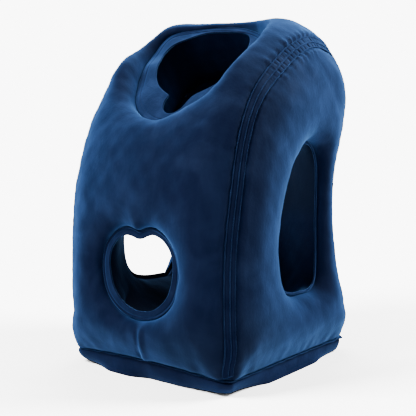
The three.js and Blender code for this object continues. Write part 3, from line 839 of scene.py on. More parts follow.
@dataclass(frozen=True)
class Velvet:
    """Flocked velvet with a cloudy nap: its base colour is dark where it is seen straight on and lighter as
    it turns away, a painted sheen, and darker where the lining attribute asks, a painted shade.
    """

    name: str
    ground: Colour = (0.0001, 0.0034, 0.022, 1)
    # The colour that the painted sheen, and a little of the brushed nap, lighten the base colour towards.
    raised: Colour = (0.014, 0.050, 0.165, 1)
    # Painted shade colour, mixed in by the lining attribute.
    deep: Colour = (0.0007, 0.0045, 0.018, 1)
    sheen_tint: Colour = (0.14, 0.42, 1.0, 1)
    sheen: float = 0.5
    sheen_roughness: float = 0.34
    specular: float = 0.12
    roughness: float = 0.98
    # Facing band over which the painted sheen lightens the base colour.
    painted_sheen_band: tuple[float, float] = (0.14, 0.87)
    cloud_scale: float = 17.0
    cloud_band: tuple[float, float] = (0.42, 0.66)
    nap_scale: float = 46.0
    nap_band: tuple[float, float] = (0.36, 0.7)
    nap_turn: tuple[float, float, float] = (0.35, -0.3, 0.2)
    nap_stretch: tuple[float, float, float] = (1.0, 1.0, 0.32)
    mottle_scale: float = 260.0
    mottle_band: tuple[float, float] = (0.3, 0.75)
    grain_scale: float = 1500.0
    grain_height: float = 0.12
    bump_strength: float = 0.35
    bump_distance: float = 0.0012

    def build(self) -> bpy.types.Material:
        """Makes the material.

        Returns:
            The material.
        """
        s = Shader(self.name)
        place = s.node("ShaderNodeTexCoord", {}, {}, "Object")
        stroke = {"Vector": place, "Rotation": self.nap_turn, "Scale": self.nap_stretch}
        streaked = s.node("ShaderNodeMapping", {}, stroke)
        cloud = s.noise(place, self.cloud_scale, 4, 0.7).band(*self.cloud_band)
        nap = s.noise(streaked, self.nap_scale, 5, 0.9).band(*self.nap_band)
        mottle = s.noise(place, self.mottle_scale, 3).band(*self.mottle_band)
        grain = s.noise(place, self.grain_scale, 2)
        brushed = cloud * 0.62 + nap * 0.3 + mottle * 0.1
        # Painted sheen: the base colour goes from ground to raised as the surface turns from the view, more
        # where the nap is brushed.
        away = s.node("ShaderNodeLayerWeight", {}, {"Blend": 0.5}, "Facing").band(*self.painted_sheen_band)
        colour = s.mix(away * (0.62 + brushed * 0.5) + brushed * 0.1, self.ground, self.raised)
        # The lining attribute is painted shade: it darkens the base colour towards deep in the hollow and
        # at the right front foot.
        lining = s.node("ShaderNodeAttribute", {"attribute_name": "lining"}, {}, "Fac")
        height = grain * self.grain_height + mottle * 0.3 + nap * 0.35
        relief = {"Strength": self.bump_strength, "Distance": self.bump_distance, "Height": height}
        finish = {
            "Base Color": s.mix(lining, colour, self.deep),
            "Roughness": self.roughness - brushed * 0.16,
            "Sheen Weight": self.sheen,
            "Sheen Roughness": self.sheen_roughness,
            "Sheen Tint": self.sheen_tint,
            "Specular IOR Level": self.specular,
            "Normal": s.node("ShaderNodeBump", {}, relief),
        }
        return s.surface(s.node("ShaderNodeBsdfPrincipled", {}, finish))


FLOCKED = Velvet("flocked_velvet")
PRESSED = Velvet(
    "pressed_velvet",
    raised=(0.011, 0.040, 0.135, 1),
    sheen=0.42,
    cloud_scale=24.0,
    nap_scale=60.0,
)
# A darker copy of the flocked velvet with less sheen, for the base panel: painted shade under the chamber's
# foot.
SHADED_BASE_VELVET = Velvet(
    "shaded_base_velvet",
    raised=(0.004, 0.020, 0.085, 1),
    sheen=0.3,
)


def dress(piece: bpy.types.Object, material: bpy.types.Material, slot: str, *nodes: str) -> None:
    """Gives a piece its material and its body, and hides the frame's pieces that it stands for.

    Args:
        piece: The piece.
        material: Its material.
        slot: The record's slot that its finish is from; not used.
        nodes: The frame's pieces that it stands for.
    """
    piece.data.materials.clear()
    piece.data.materials.append(material)
    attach(piece, "root")
    if nodes:
        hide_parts(*nodes)
    log.info("%s: %d faces", piece.name, len(piece.data.polygons))


@dataclass
class SeamLine:
    """A side seam: where the wrap panel meets a side panel on the rounded edge."""

    form: PillowForm
    side: Side
    spacing: float = 1.0
    foot: float = 26.0
    deepest: float = 60.0
    slope_height: float = 385.0
    slope_span: float = 55.0
    slope_draw: float = 6.0
    band_half: float = 8.2
    shoulder_extra: float = 2.3
    block: int = 4000

    def __post_init__(self) -> None:
        """Finds the seam's stations, their directions and their lengths along it."""
        form, sign = self.form, self.side.value
        path = evenly(form.wrap_curve, self.spacing, False)
        along = unit(np.gradient(path, axis=0))
        out = np.stack([-along[:, 1], along[:, 0]], -1)

        def place(inset: Array) -> Array:
            """Where the wrap panel and the side panel meet if both lie so far in."""
            y, z = (path - out * inset[:, None]).T
            return np.stack([form.width(y, z) - inset, y, z], -1)

        start, end = np.zeros(len(path)), np.full(len(path), self.deepest)
        points = place(furthest(lambda inset: form.outer(place(inset)) >= 0, start, end)) * (sign, 1, 1)
        across = unit(np.stack([np.full(len(path), float(sign)), -out[:, 0], -out[:, 1]], -1))
        slope = hump(points[:, 2], self.slope_height, self.slope_span) * (points[:, 1] < 0)
        points = settle(form.outer, points - across * (self.slope_draw * slope)[:, None], 3)
        level = form.seam_level(points[:, 0], points[:, 1])
        kept = points[:, 2] > level + self.foot - form.seam_height
        self.points, self.across = points[kept], across[kept]
        self.lengths = running_length(self.points)

    def nearest(self, p: Array) -> tuple[Array, Array]:
        """Each point's distance to the seam, and the seam's length up to there.

        Args:
            p: The points.

        Returns:
            The distances and the lengths.
        """
        distance = np.empty(len(p))
        which = np.empty(len(p), int)
        coarse = self.points[::2]
        for start in range(0, len(p), self.block):
            part = p[start : start + self.block]
            gap = ((part[:, None, :] - coarse[None, :, :]) ** 2).sum(-1)
            best = gap.argmin(1)
            which[start : start + self.block] = best * 2
            distance[start : start + self.block] = np.sqrt(gap[np.arange(len(part)), best])
        return distance, self.lengths[which]

    def gathered(self, length: Array) -> Array:
        """How much the cloth is gathered along the seam: most on the stretch over the shoulder."""
        y = np.interp(length, self.lengths, self.points[:, 1])
        z = np.interp(length, self.lengths, self.points[:, 2])
        return rise(-75, -45, y) * fall(62, 90, y) * rise(380, 410, z)

    def half(self, length: Array) -> Array:
        """Half width of the band along the seam: wider where it is gathered."""
        z = np.interp(length, self.lengths, self.points[:, 2])
        return self.band_half + self.shoulder_extra * rise(360, 440, z)


@dataclass(frozen=True)
class ClothPass:
    """A cloth simulation under air pressure, with no gravity and a cap on each corner's way."""

    voxel: float = 6.0
    pressure: float = 4.0
    quality: int = 4
    frames: int = 20
    cap: float = 3.5

    def run(self, blank: bpy.types.Object, held: Callable[[Array], Array]) -> tuple[Array, Array]:
        """Remeshes a blank evenly and swells it.

        Args:
            blank: The piece to swell, removed afterwards.
            held: Gives how firmly corners are held, 0 to 1.

        Returns:
            The even mesh's corners before, and how far each of them moved, in millimetres.
        """
        remesh = blank.modifiers.new("remesh", "REMESH")
        remesh.mode = "VOXEL"
        remesh.voxel_size = self.voxel * MM
        depsgraph = bpy.context.evaluated_depsgraph_get()
        even = bpy.data.meshes.new_from_object(blank.evaluated_get(depsgraph))
        blank.modifiers.clear()
        blank.data = even
        start = self.corners(even)
        group = blank.vertex_groups.new(name="held")
        for index, weight in enumerate(held(start)):
            if weight > 0:
                group.add([index], float(weight), "REPLACE")
        cloth = blank.modifiers.new("cloth", "CLOTH")
        cloth.settings.quality = self.quality
        cloth.settings.use_pressure = True
        cloth.settings.uniform_pressure_force = self.pressure
        cloth.settings.effector_weights.gravity = 0
        cloth.settings.vertex_group_mass = group.name
        scene = bpy.context.scene
        for frame in range(1, self.frames + 1):
            scene.frame_set(frame)
        swollen = blank.evaluated_get(bpy.context.evaluated_depsgraph_get()).to_mesh()
        moved = self.corners(swollen) - start
        scene.frame_set(1)
        bpy.data.objects.remove(blank)
        length = np.linalg.norm(moved, axis=1, keepdims=True)
        return start, moved * np.minimum(1, self.cap / np.maximum(length, 1e-6))

    def corners(self, mesh: bpy.types.Mesh) -> Array:
        """A mesh's corners in millimetres."""
        flat = np.empty(len(mesh.vertices) * 3, np.float32)
        mesh.vertices.foreach_get("co", flat)
        return flat.reshape(-1, 3).astype(float) / MM


@dataclass
class ChamberSkin:
    """The air-filled chamber: outer panels, lining and the rolls between them."""

    form: PillowForm
    seams: list[SeamLine]
    cell: float = 4.0
    relax_rounds: int = 5
    net_low: tuple[float, float, float] = (-184.0, -198.0, 8.0)
    net_high: tuple[float, float, float] = (184.0, 198.0, 544.0)
    cloth: ClothPass = ClothPass()
    bed_depth: float = 2.2
    puff_height: float = 0.8
    crease_depth: float = 3.4
    crease_lap: float = 3.0
    pinch_height: float = 3.6

    def build(self) -> bpy.types.Object:
        """Nets the chamber, evens out its mesh and adds the sunk seams, puckers and creases.

        Returns:
            The skin as one closed piece.
        """
        wall = self.form.wall
        corners, quads = surface_net(wall, self.net_low, self.net_high, self.cell)
        corners = settle(wall, corners, 3, self.cell)
        for _ in range(self.relax_rounds):
            corners += 0.5 * (neighbour_mean(corners, quads) - corners)
            corners = settle(wall, corners, 1, self.cell)
        corners = self.swell(corners, quads)
        out = unit(slope_of(wall, corners))
        skin = mesh_object("chamber_skin", corners + out * self.relief(corners)[:, None], quads)
        # Painted shade: the lining attribute says how far each corner's colour is darkened towards the
        # velvet's deep colour.
        lining = skin.data.attributes.new("lining", "FLOAT", "POINT")
        lining.data.foreach_set("value", self.painted_shade_share(corners).astype(np.float32))
        return skin

    def painted_shade_share(self, p: Array) -> Array:
        """How much of the deep colour, a painted shade, each corner takes: most low in the hollow, some at
        the right foot.

        Args:
            p: The corners.

        Returns:
            The shares, 0 to 1.
        """
        x, y, z = p.T
        # Painted shade inside the hollow. There is less of it high up, and less of it low at the back
        # except on the left.
        hollow = fall(-34, -24, self.form.outer(p))
        behind = rise(10, 50, y) * fall(200, 240, z) * rise(-60, -30, x)
        hollow = hollow * (1 - np.maximum(rise(320, 360, z), 0.85 * behind))
        # Painted shade low beside the front right corner.
        foot = fall(50, 150, np.hypot(x - 150, y + 160)) * fall(50, 140, z)
        return np.maximum(hollow, 0.5 * foot)

    def swell(self, corners: Array, quads: Array) -> Array:
        """Moves the skin as cloth under air pressure, held at its welds and in the hollow.

        Args:
            corners: Corners of the smooth skin.
            quads: Its faces.

        Returns:
            The corners, moved.
        """
        blank = mesh_object("chamber_blank", corners, quads)
        start, moved = self.cloth.run(blank, self.held)
        tree = KDTree(len(start))
        for index, place in enumerate(start):
            tree.insert(place, index)
        tree.balance()
        shift = np.zeros_like(corners)
        for index, place in enumerate(corners):
            near = tree.find_n(place, 4)
            pull = np.array([1 / (found[2] + 0.5) for found in near])
            shift[index] = pull @ moved[[found[1] for found in near]] / pull.sum()
        log.info("swell: largest shift %.1f mm", np.linalg.norm(shift, axis=1).max())
        return corners + shift

    def held(self, p: Array) -> Array:
        """How firmly each corner is held by a weld, by the base seam or in the hollow.

        Args:
            p: The corners.

        Returns:
            The firmness, 0 to 1.
        """
        firm = fall(-14, -4, self.form.outer(p))
        for seam in self.seams:
            firm = np.maximum(firm, fall(14, 30, seam.nearest(p)[0]))
        level = self.form.seam_level(p[:, 0], p[:, 1])
        return np.maximum(firm, fall(8, 30, p[:, 2] - level))

    def relief(self, p: Array) -> Array:
        """How far each corner moves out of the smooth form.

        Args:
            p: The corners.

        Returns:
            The moves along the form's normals.
        """
        outer = rise(-30, -12, self.form.outer(p))
        uneven = 0.7 * plane_waves(p, 70, 11) + 0.3 * plane_waves(p, 24, 12)
        total = uneven * rise(20, 50, p[:, 2])
        for seam in self.seams:
            total += outer * self.seam_relief(seam, p)
        return total + outer * (self.front_crease(p) + self.top_pinch(p) + self.foot_puckers(p))

    def seam_relief(self, seam: SeamLine, p: Array) -> Array:
        """The band's sunk bed, the puff beside it and the puckers that run away from it.

        Args:
            seam: The seam.
            p: The corners.

        Returns:
            How far each corner moves out.
        """
        distance, length = seam.nearest(p)
        close = distance < 45
        half = seam.half(length)
        sunk = -self.bed_depth * fall(0, 2.4, distance - half)
        puff = self.puff_height * hump(distance - half, 7, 6)
        gathers = 0.2 + 0.9 * seam.gathered(length)
        ripple = plane_waves(length[:, None], 12, 21 + seam.side.value)
        pucker = gathers * ripple * hump(distance, 13, 8)
        return np.where(close, sunk + puff + pucker, 0)

    def front_crease(self, p: Array) -> Array:
        """The short upright crease from the front opening down to the base seam.

        Args:
            p: The corners.

        Returns:
            How far each corner moves out.
        """
        x, y, z = p.T
        beside = x - (2.0 + 3.5 * np.sin((z - 24) / 58 * math.pi * 0.9) - 0.06 * (60 - z))
        span = rise(22, 34, z) * fall(66, 82, z) * (y < -120)
        groove = -self.crease_depth * hump(beside, 0, 2.2)
        return span * (groove + self.crease_lap * hump(beside, 5.5, 5))

    def top_pinch(self, p: Array) -> Array:
        """The small gathered lump behind the face opening's top."""
        x, y, z = p.T
        return self.pinch_height * hump(np.abs(x), 4, 3.2) * hump(y, 74, 7) * (z > 480)

    def foot_puckers(self, p: Array) -> Array:
        """Small upright puckers just above the base seam, strongest at the corners.

        Args:
            p: The corners.

        Returns:
            How far each corner moves out.
        """
        x, y, z = p.T
        height = z - self.form.seam_level(x, y)
        around = np.arctan2(y, x)[:, None] * 150
        corner = rise(0.36, 0.5, np.abs(x * y) / (x * x + y * y + 1))
        return (0.25 + 0.7 * corner) * plane_waves(around, 22, 31) * hump(height, 10, 10)


@dataclass
class BeadTree:
    """A node tree that runs a round bead along a path, a little uneven in thickness."""

    radius: float = 0.5
    sides: int = 8
    uneven: float = 0.5
    seed: int = 4
    group: bpy.types.GeometryNodeTree | None = None
    inputs: dict[str, str] = field(default_factory=dict)

    def socket(self, name: str, kind: str, way: str = "INPUT") -> None:
        """Adds a named socket to the tree and remembers its identifier."""
        made = self.group.interface.new_socket(name, in_out=way, socket_type=f"NodeSocket{kind}")
        self.inputs[name] = made.identifier

    def build(self) -> None:
        """Builds the tree: path, round profile, uneven scale, plain mesh, material."""
        self.group = bpy.data.node_groups.new("weld_bead", "GeometryNodeTree")
        add = partial(add_node, self.group)
        for name, kind in (
            ("Path", "Geometry"),
            ("Radius", "Float"),
            ("Uneven", "Float"),
            ("Sides", "Int"),
            ("Seed", "Int"),
            ("Material", "Material"),
        ):
            self.socket(name, kind)
        self.socket("Bead", "Geometry", "OUTPUT")
        given = add("NodeGroupInput", {}, {}).outputs
        noise = add(
            "ShaderNodeTexNoise",
            {"noise_dimensions": "4D"},
            {"W": given["Seed"], "Scale": 90.0, "Detail": 2.0},
        )
        low, high = (
            add("ShaderNodeMath", {"operation": operation}, {0: 1.0, 1: given["Uneven"]})
            for operation in ("SUBTRACT", "ADD")
        )
        scale = add(
            "ShaderNodeMapRange",
            {},
            {
                "Value": noise.outputs[0],
                "From Min": 0.3,
                "From Max": 0.7,
                "To Min": low.outputs[0],
                "To Max": high.outputs[0],
            },
        )
        path = add("GeometryNodeMeshToCurve", {}, {"Mesh": given["Path"]})
        ring = add(
            "GeometryNodeCurvePrimitiveCircle",
            {},
            {"Resolution": given["Sides"], "Radius": given["Radius"]},
        )
        bead = add(
            "GeometryNodeCurveToMesh",
            {},
            {
                "Curve": path.outputs[0],
                "Profile Curve": ring.outputs[0],
                "Scale": scale.outputs[0],
                "Fill Caps": True,
            },
        )
        plain = add("GeometryNodeRealizeInstances", {}, {"Geometry": bead.outputs[0]})
        worn = add(
            "GeometryNodeSetMaterial",
            {},
            {"Geometry": plain.outputs[0], "Material": given["Material"]},
        )
        add("NodeGroupOutput", {}, {"Bead": worn.outputs[0]})

    def run(
        self, name: str, paths: list[Array], closed: bool, material: bpy.types.Material
    ) -> bpy.types.Object:
        """Runs beads along paths.

        Args:
            name: The piece's name.
            paths: Corners of each path in millimetres.
            closed: Whether each path meets its own start.
            material: What the beads are made of.

        Returns:
            The beads as one plain mesh piece.
        """
        if self.group is None:
            self.build()
        edges, first = [], 0
        for path in paths:
            count = len(path)
            edges += [(first + i, first + (i + 1) % count) for i in range(count if closed else count - 1)]
            first += count
        mesh = bpy.data.meshes.new(name)
        mesh.from_pydata((np.concatenate(paths) * MM).tolist(), edges, [])
        piece = add_object(name, mesh)
        modifier = piece.modifiers.new("bead", "NODES")
        modifier.node_group = self.group
        wanted = {"Radius": self.radius * MM, "Uneven": self.uneven, "Sides": self.sides, "Seed": self.seed}
        for key, value in {**wanted, "Material": material}.items():
            modifier[self.inputs[key]] = value
        ready = piece.evaluated_get(bpy.context.evaluated_depsgraph_get())
        made = bpy.data.meshes.new_from_object(ready)
        piece.modifiers.remove(modifier)
        piece.data = made
        made.polygons.foreach_set("use_smooth", [True] * len(made.polygons))
        return piece


@dataclass
class SideSeam:
    """The welded band over a side seam: two lanes between three raised weld lines."""

    line: SeamLine
    columns: int = 27
    thickness: float = 1.4
    sunk: float = 1.6
    raised: tuple[float, ...] = (-0.9, 0.05, 0.9)

    def build(self) -> bpy.types.Object:
        """Lays the band over the skin's sunk bed.

        Returns:
            The band as one closed piece.
        """
        seat, out, height = self.laid(np.linspace(-1, 1, self.columns))
        shape = (-1, self.columns, 3)
        under = seat - out * (self.thickness + self.sunk)
        name = f"side_seam_band_{self.line.side.name.lower()}"
        return closed_slab(name, (seat + out * height).reshape(shape), under.reshape(shape), False)

    def weld_lines(self) -> list[Array]:
        """Paths of the raised weld lines, half sunk in the band's face."""
        seat, out, height = self.laid(np.array(self.raised))
        return list((seat + out * height).reshape(-1, len(self.raised), 3).transpose(1, 0, 2))

    def laid(self, share: Array) -> tuple[Array, Array, Array]:
        """Where places across the band lie on the smooth form, station by station.

        Args:
            share: The places, from -1 to 1.

        Returns:
            Their points, the directions out of the form and the band's height over it.
        """
        line = self.line
        width = line.half(line.lengths)[:, None] * share[None, :]
        flat = line.points[:, None, :] + line.across[:, None, :] * width[..., None]
        seat = settle(line.form.outside, flat.reshape(-1, 3), 3)
        out = unit(slope_of(line.form.outside, seat))
        height = self.height(np.tile(share, len(line.points)), np.repeat(line.lengths, len(share)))
        return seat, out, height[:, None]

    def height(self, share: Array, length: Array) -> Array:
        """Height of the band over the smooth form.

        Args:
            share: Places across the band, from -1 to 1.
            length: Lengths along it.

        Returns:
            The heights.
        """
        lane = np.clip(1 - np.abs((np.abs(share) - 0.48) / 0.42) ** 3, 0, 1)
        ridges = hump(np.abs(share), 0.9, 0.07) + hump(share, 0.05, 0.07)
        groove = hump(share, 0.2, 0.06) + hump(share, -0.72, 0.06)
        edge = rise(0.93, 1.0, np.abs(share))
        phase = 1.9 * np.sign(share) + 1.6 * plane_waves(length[:, None], 34, 41)
        wave = np.sin(length / 10.5 * 2 * math.pi + phase)
        uneven = 0.6 + 0.4 * plane_waves(np.stack([length, 9 * share], -1), 13, 43)
        pits = self.line.gathered(length) * rise(0.1, 0.9, wave) * lane * uneven
        return 0.3 * lane + 0.45 * ridges - 0.8 * groove - 1.6 * edge - 1.1 * pits - 0.5


@dataclass
class Opening:
    """An opening's weld line, and how a place in its flat frame becomes a place in space."""

    form: PillowForm
    weld: Array
    reach: tuple[float, float] = (0.0, 0.0)
    pull_spacing: float = 6.0
    pull_softening: float = 150.0

    def lift(self, flat: Array, out: Array | float) -> Array:
        """Space place of each flat place, so far out of the opening's frame."""
        raise NotImplementedError

    def depth(self, flat: Array) -> Array:
        """How deep below the outer skin the flange lies at each flat place: as deep as the roll."""
        raise NotImplementedError

    def cut(self) -> Array:
        """The flange's cut edge."""
        raise NotImplementedError

    def seat(self, flat: Array) -> Array:
        """How far out of the frame the flange lies at each flat place."""
        wanted = -self.depth(flat)
        near, far = (np.full(len(flat), reach) for reach in self.reach)
        return furthest(lambda out: self.form.outer(self.lift(flat, out)) < wanted, near, far, 20)

    def stretched(self, flat: Array) -> Array:
        """How far out of the frame a sheet lies that is stretched flat across the weld line."""
        stations = evenly(self.weld, self.pull_spacing, True)
        near = ((flat[:, None, :] - stations[None, :, :]) ** 2).sum(-1) + self.pull_softening
        pull = near**-1.5
        return (pull * self.seat(stations)).sum(1) / pull.sum(1)


@dataclass
class FrontOpening(Opening):
    """The heart-shaped opening low in the front."""

    reach: tuple[float, float] = (100.0, 190.0)
    flange_width: float = 13.0

    def lift(self, flat: Array, out: Array | float) -> Array:
        """The frame stands upright and faces -Y."""
        return np.stack([flat[:, 0], -out * np.ones(len(flat)), flat[:, 1]], -1)

    def depth(self, flat: Array) -> Array:
        """The same all round."""
        return np.full(len(flat), self.form.front_roll.depth)

    def cut(self) -> Array:
        """The flange is narrow at its upper right, and widest at its left below the middle."""
        turn = np.degrees(np.arctan2(self.weld[:, 1] - self.form.front_centre, self.weld[:, 0]))
        width = self.flange_width - 4 * hump(turn, 50, 35) + 2 * hump(turn, -30, 30)
        width += 4.5 * hump(turn % 360, 205, 40)
        return offset_curve(self.weld, -width[:, None])


@dataclass
class FaceOpening(Opening):
    """The opening for the face, on the slope."""

    reach: tuple[float, float] = (-50.0, 70.0)

    def lift(self, flat: Array, out: Array | float) -> Array:
        """The frame lies on the slope."""
        f = self.form
        up = flat[:, 1:2] * f.up_slope + (out * np.ones(len(flat)))[:, None] * f.off_slope
        return f.face_foot + up + flat[:, :1] * (1, 0, 0)

    def depth(self, flat: Array) -> Array:
        """Deep at the foot, shallow at the top."""
        return self.form.face_roll(flat[:, 0], flat[:, 1])[0]

    def cut(self) -> Array:
        """The hole in the membrane."""
        return self.form.face_cut_curve


@dataclass
class ArmOpening(Opening):
    """An arm's opening in a side."""

    reach: tuple[float, float] = (60.0, 180.0)
    side: Side = Side.RIGHT
    fin_width: float = 5.0

    def lift(self, flat: Array, out: Array | float) -> Array:
        """The frame stands upright and faces the side."""
        x = self.side.value * out * np.ones(len(flat))
        shift = self.form.arm_shift(x, flat[:, 0], flat[:, 1])
        return np.stack([x, flat[:, 0] + shift, flat[:, 1]], -1)

    def depth(self, flat: Array) -> Array:
        """A little less at the back."""
        return self.form.arm_roll(flat[:, 0])[0]

    def cut(self) -> Array:
        """A narrow fin, as wide all round."""
        return offset_curve(self.weld, -self.fin_width)


@dataclass(frozen=True)
class FlangeLook:
    """A flange's surface in millimetres: its crease, raised weld line, groove and unevenness."""

    bead: float
    bead_at: float
    groove: float
    groove_at: float
    wave: float
    wave_length: float
    curl: float
    crease: float = 1.3
    cut_rounding: float = 0.6
    thickness: float = 1.5
    grip: float = 5.0
    grip_depth: float = 2.2

    def height(self, inward: Array, from_cut: Array, place: Array, seed: int) -> Array:
        """Height over the flange's frame.

        Args:
            inward: Distance inside the weld line.
            from_cut: Distance from the cut edge.
            place: The flat places.
            seed: Number that the unevenness is drawn from.

        Returns:
            The heights.
        """
        bead = self.bead * hump(inward, self.bead_at, 1.1)
        groove = -self.groove * hump(inward, self.groove_at, 0.8)
        crease = -self.crease * hump(inward, 0, 1.4)
        wave = self.wave * plane_waves(place, self.wave_length, seed) * rise(2, 9, inward)
        lip = self.curl * np.exp(-from_cut / 4) - self.cut_rounding * fall(0, 0.9, from_cut)
        return np.where(inward < 0, -self.grip_depth, crease + bead + groove + wave + lip)


@dataclass
class Flange:
    """The flat welded border inside an opening, or the membrane across it."""

    name: str
    opening: Opening
    look: FlangeLook
    rows: int = 420
    columns: int = 26
    seed: int = 1

    def build(self) -> bpy.types.Object:
        """Lays rows of points from the weld line to the cut edge.

        Returns:
            The flange as one closed piece.
        """
        spaced, edge = self.edges(self.rows)
        gap = edge - spaced
        width = np.linalg.norm(gap, axis=1)
        share = np.linspace(0, 1, self.columns) ** 0.9
        grip = -self.look.grip / width
        shares = np.concatenate([grip[:, None], np.tile(share, (len(spaced), 1))], 1)
        flat = spaced[:, None, :] + gap[:, None, :] * shares[..., None]
        shape = flat.shape[:2]
        flat = flat.reshape(-1, 2)
        inward = (shares * width[:, None]).ravel()
        from_cut = (width[:, None] * (1 - shares)).ravel()
        out = self.opening.stretched(flat) + self.look.height(inward, from_cut, flat, self.seed)
        front = self.opening.lift(flat, out).reshape(*shape, 3)
        back = self.opening.lift(flat, out - self.look.thickness).reshape(*shape, 3)
        return closed_slab(self.name, front, back, True)

    def edges(self, rows: int) -> tuple[Array, Array]:
        """Matching points of the flange's two edges.

        Args:
            rows: About how many there are on each.

        Returns:
            The weld line's points, and the cut edge's point for each of them.
        """
        weld, cut = self.opening.weld, self.opening.cut()
        spaced = evenly(weld, running_length(weld)[-1] / rows, True)
        path = np.vstack([cut, cut[:1]])
        lengths = running_length(path)
        return spaced, points_at(path, lengths, np.arange(len(spaced)) / len(spaced) * lengths[-1])

    def unrolled(self) -> tuple[float, float]:
        """Width and length of the strip that the flange would make, in metres."""
        spaced, edge = self.edges(300)
        width = np.linalg.norm(edge - spaced, axis=1)
        length = running_length(self.opening.weld)[-1]
        return (float(width.mean()) + self.look.grip) * MM, float(length) * MM


@dataclass
class Base:
    """The base seam's outline, its height, and how near each of its stations is to a corner."""

    form: PillowForm
    stations: int = 720
    corner_span: float = 0.42
    shortest: float = 60.0
    longest: float = 260.0

    def __post_init__(self) -> None:
        """Finds the outline where the outer skin meets the base seam."""
        angle = np.linspace(0, 2 * math.pi, self.stations, endpoint=False)
        self.ray = np.stack([np.cos(angle), np.sin(angle)], -1)

        def inside(reach: Array) -> Array:
            """Whether the base seam lies inside the outer skin so far out."""
            x, y = (self.ray * reach[:, None]).T
            return self.form.outer(np.stack([x, y, self.form.seam_level(x, y)], -1)) < 0

        near, far = (np.full(self.stations, reach) for reach in (self.shortest, self.longest))
        self.outline = self.ray * furthest(inside, near, far)[:, None]
        x, y = self.outline.T
        self.level = self.form.seam_level(x, y)
        self.corner = rise(0.43, 0.5, np.abs(x * y) / (x * x + y * y))
        beside = np.abs((angle % (math.pi / 2)) - math.pi / 4)
        self.near_corner = fall(0, self.corner_span, beside)
        self.lengths = running_length(self.outline)

    def at(self, out: Array, z: Array) -> Array:
        """Points beside the outline.

        Args:
            out: Distance outwards, stations by columns.
            z: Heights, laid out the same.

        Returns:
            The points.
        """
        flat = self.outline[:, None, :] + self.ray[:, None, :] * out[..., None]
        return np.concatenate([flat, z[..., None]], -1)


@dataclass
class BasePanel:
    """The padded panel under the chamber, drawn in from the base seam down to the floor."""

    base: Base
    inset: float = 8.0
    corner_inset: float = 32.0
    right_corner_gain: float = 16.0
    top_drop: float = 0.9
    lid_drop: float = 0.6
    pinch_depth: float = 1.8
    pinch_turn: float = 0.14
    columns: int = 22

    def build(self) -> bpy.types.Object:
        """Builds the panel.

        Returns:
            The panel as one closed piece.
        """
        b = self.base
        x, y = b.outline.T
        front = fall(-140, -60, y)
        left = fall(-30, 10, x)
        right = rise(100, 140, x) * (1 - front)
        inset = self.inset + front * (4.5 - 12 * left) - 10 * right
        full = rise(-40, 90, b.ray[:, 0] * 150 + 0.4 * y)[:, None]
        inset += (self.corner_inset - self.right_corner_gain * right - inset) * b.near_corner
        turn = np.linspace(0, math.pi / 2, self.columns)[None, :]
        start = (3 - 3 * b.near_corner)[:, None]
        lateral = inset[:, None] - (inset[:, None] - start) * np.cos(turn) ** (1.0 - 0.4 * full)
        pinch = self.pinch_depth * np.exp(-turn / self.pinch_turn)
        pucker = plane_waves(b.lengths[:, None], 38, 51) * (0.35 - 0.1 * b.corner)
        pucker = pucker[:, None] * hump(turn, 0.35, 0.4)
        top = b.level - self.top_drop
        z = top[:, None] * (1 - np.sin(turn) ** (1.05 + 0.5 * full))
        skin = b.at(-(lateral + pinch) + pucker, z)
        centre = np.array([0.0, float(y.mean()), 0.0])
        foot = skin[:, -1:, :]
        inner = [centre + (foot - centre) * share for share in (0.8, 0.5, 0.2, 0.01)]
        skin = np.concatenate([skin, *inner], 1)
        skin[..., 2] = np.maximum(skin[..., 2], 0)
        lid = centre + (skin[:, :1, :] - centre) * np.linspace(0.97, 0.01, skin.shape[1])[None, :, None]
        lid[..., 2] = top[:, None] - self.lid_drop
        return closed_slab("base_panel_skin", skin, lid, True)


@dataclass
class BaseSeam:
    """The welded edge between the chamber and the base panel, with an ear at its right back corner."""

    base: Base
    outer: float = -0.8
    inner: float = 14.0
    back_ear: float = 5.0
    front_ear: float = 1.0
    left_ears: float = -1.5
    ear_lift: float = 2.0
    half_thickness: float = 0.7
    columns: int = 12

    def build(self) -> bpy.types.Object:
        """Builds the wavy edge.

        Returns:
            The edge as one closed piece.
        """
        share = np.linspace(0, 1, self.columns)[None, :]
        reach, wave, lift = (values[:, None] for values in self.rim())
        out = -self.inner + (reach + self.inner) * share
        z = self.base.level[:, None] + wave * share + lift * share**2
        rounding = self.half_thickness * rise(0.86, 1, share)
        front = self.base.at(out, z + self.half_thickness - rounding)
        back = self.base.at(out, z - self.half_thickness + rounding)
        return closed_slab("base_seam_edge", front, back, True)

    def rim(self) -> tuple[Array, Array, Array]:
        """The outer rim, station by station.

        Returns:
            How far out it reaches, its waves and how far it is lifted.
        """
        x, y = self.base.outline.T
        right = np.where(y > 0, self.back_ear, self.front_ear)
        near = self.base.near_corner**2
        wave = 0.5 * plane_waves(self.base.lengths[:, None], 24, 61)
        return self.outer + np.where(x > 0, right, self.left_ears) * near, wave, self.ear_lift * near

    def line(self) -> Array:
        """Path of the edge's outer rim."""
        reach, wave, lift = self.rim()
        return self.base.at(reach[:, None], (self.base.level + wave + lift)[:, None])[:, 0]

    def unrolled(self) -> tuple[float, float]:
        """Width and length of the strip that the edge would make, in metres."""
        return (self.inner + self.outer) * MM, float(self.base.lengths[-1]) * MM


@dataclass(frozen=True)
class SoftBox:
    """A square area light aimed at the pillow's middle; its azimuth runs from the front to the right."""

    name: str
    azimuth: float
    elevation: float
    power: float
    size: float = 0.7
    distance: float = 1.9
    aim_height: float = 0.26

    def build(self) -> None:
        """Adds the light."""
        aim = Vector((0, 0, self.aim_height))
        turn, tilt = math.radians(self.azimuth), math.radians(self.elevation)
        flat = self.distance * math.cos(tilt)
        height = aim.z + self.distance * math.sin(tilt)
        data = bpy.data.lights.new(self.name, "AREA")
        data.shape = "SQUARE"
        data.size = self.size
        data.energy = self.power
        light = add_object(self.name, data)
        light.location = Vector((flat * math.sin(turn), -flat * math.cos(turn), height))
        light.rotation_euler = (aim - light.location).to_track_quat("-Z", "Y").to_euler()


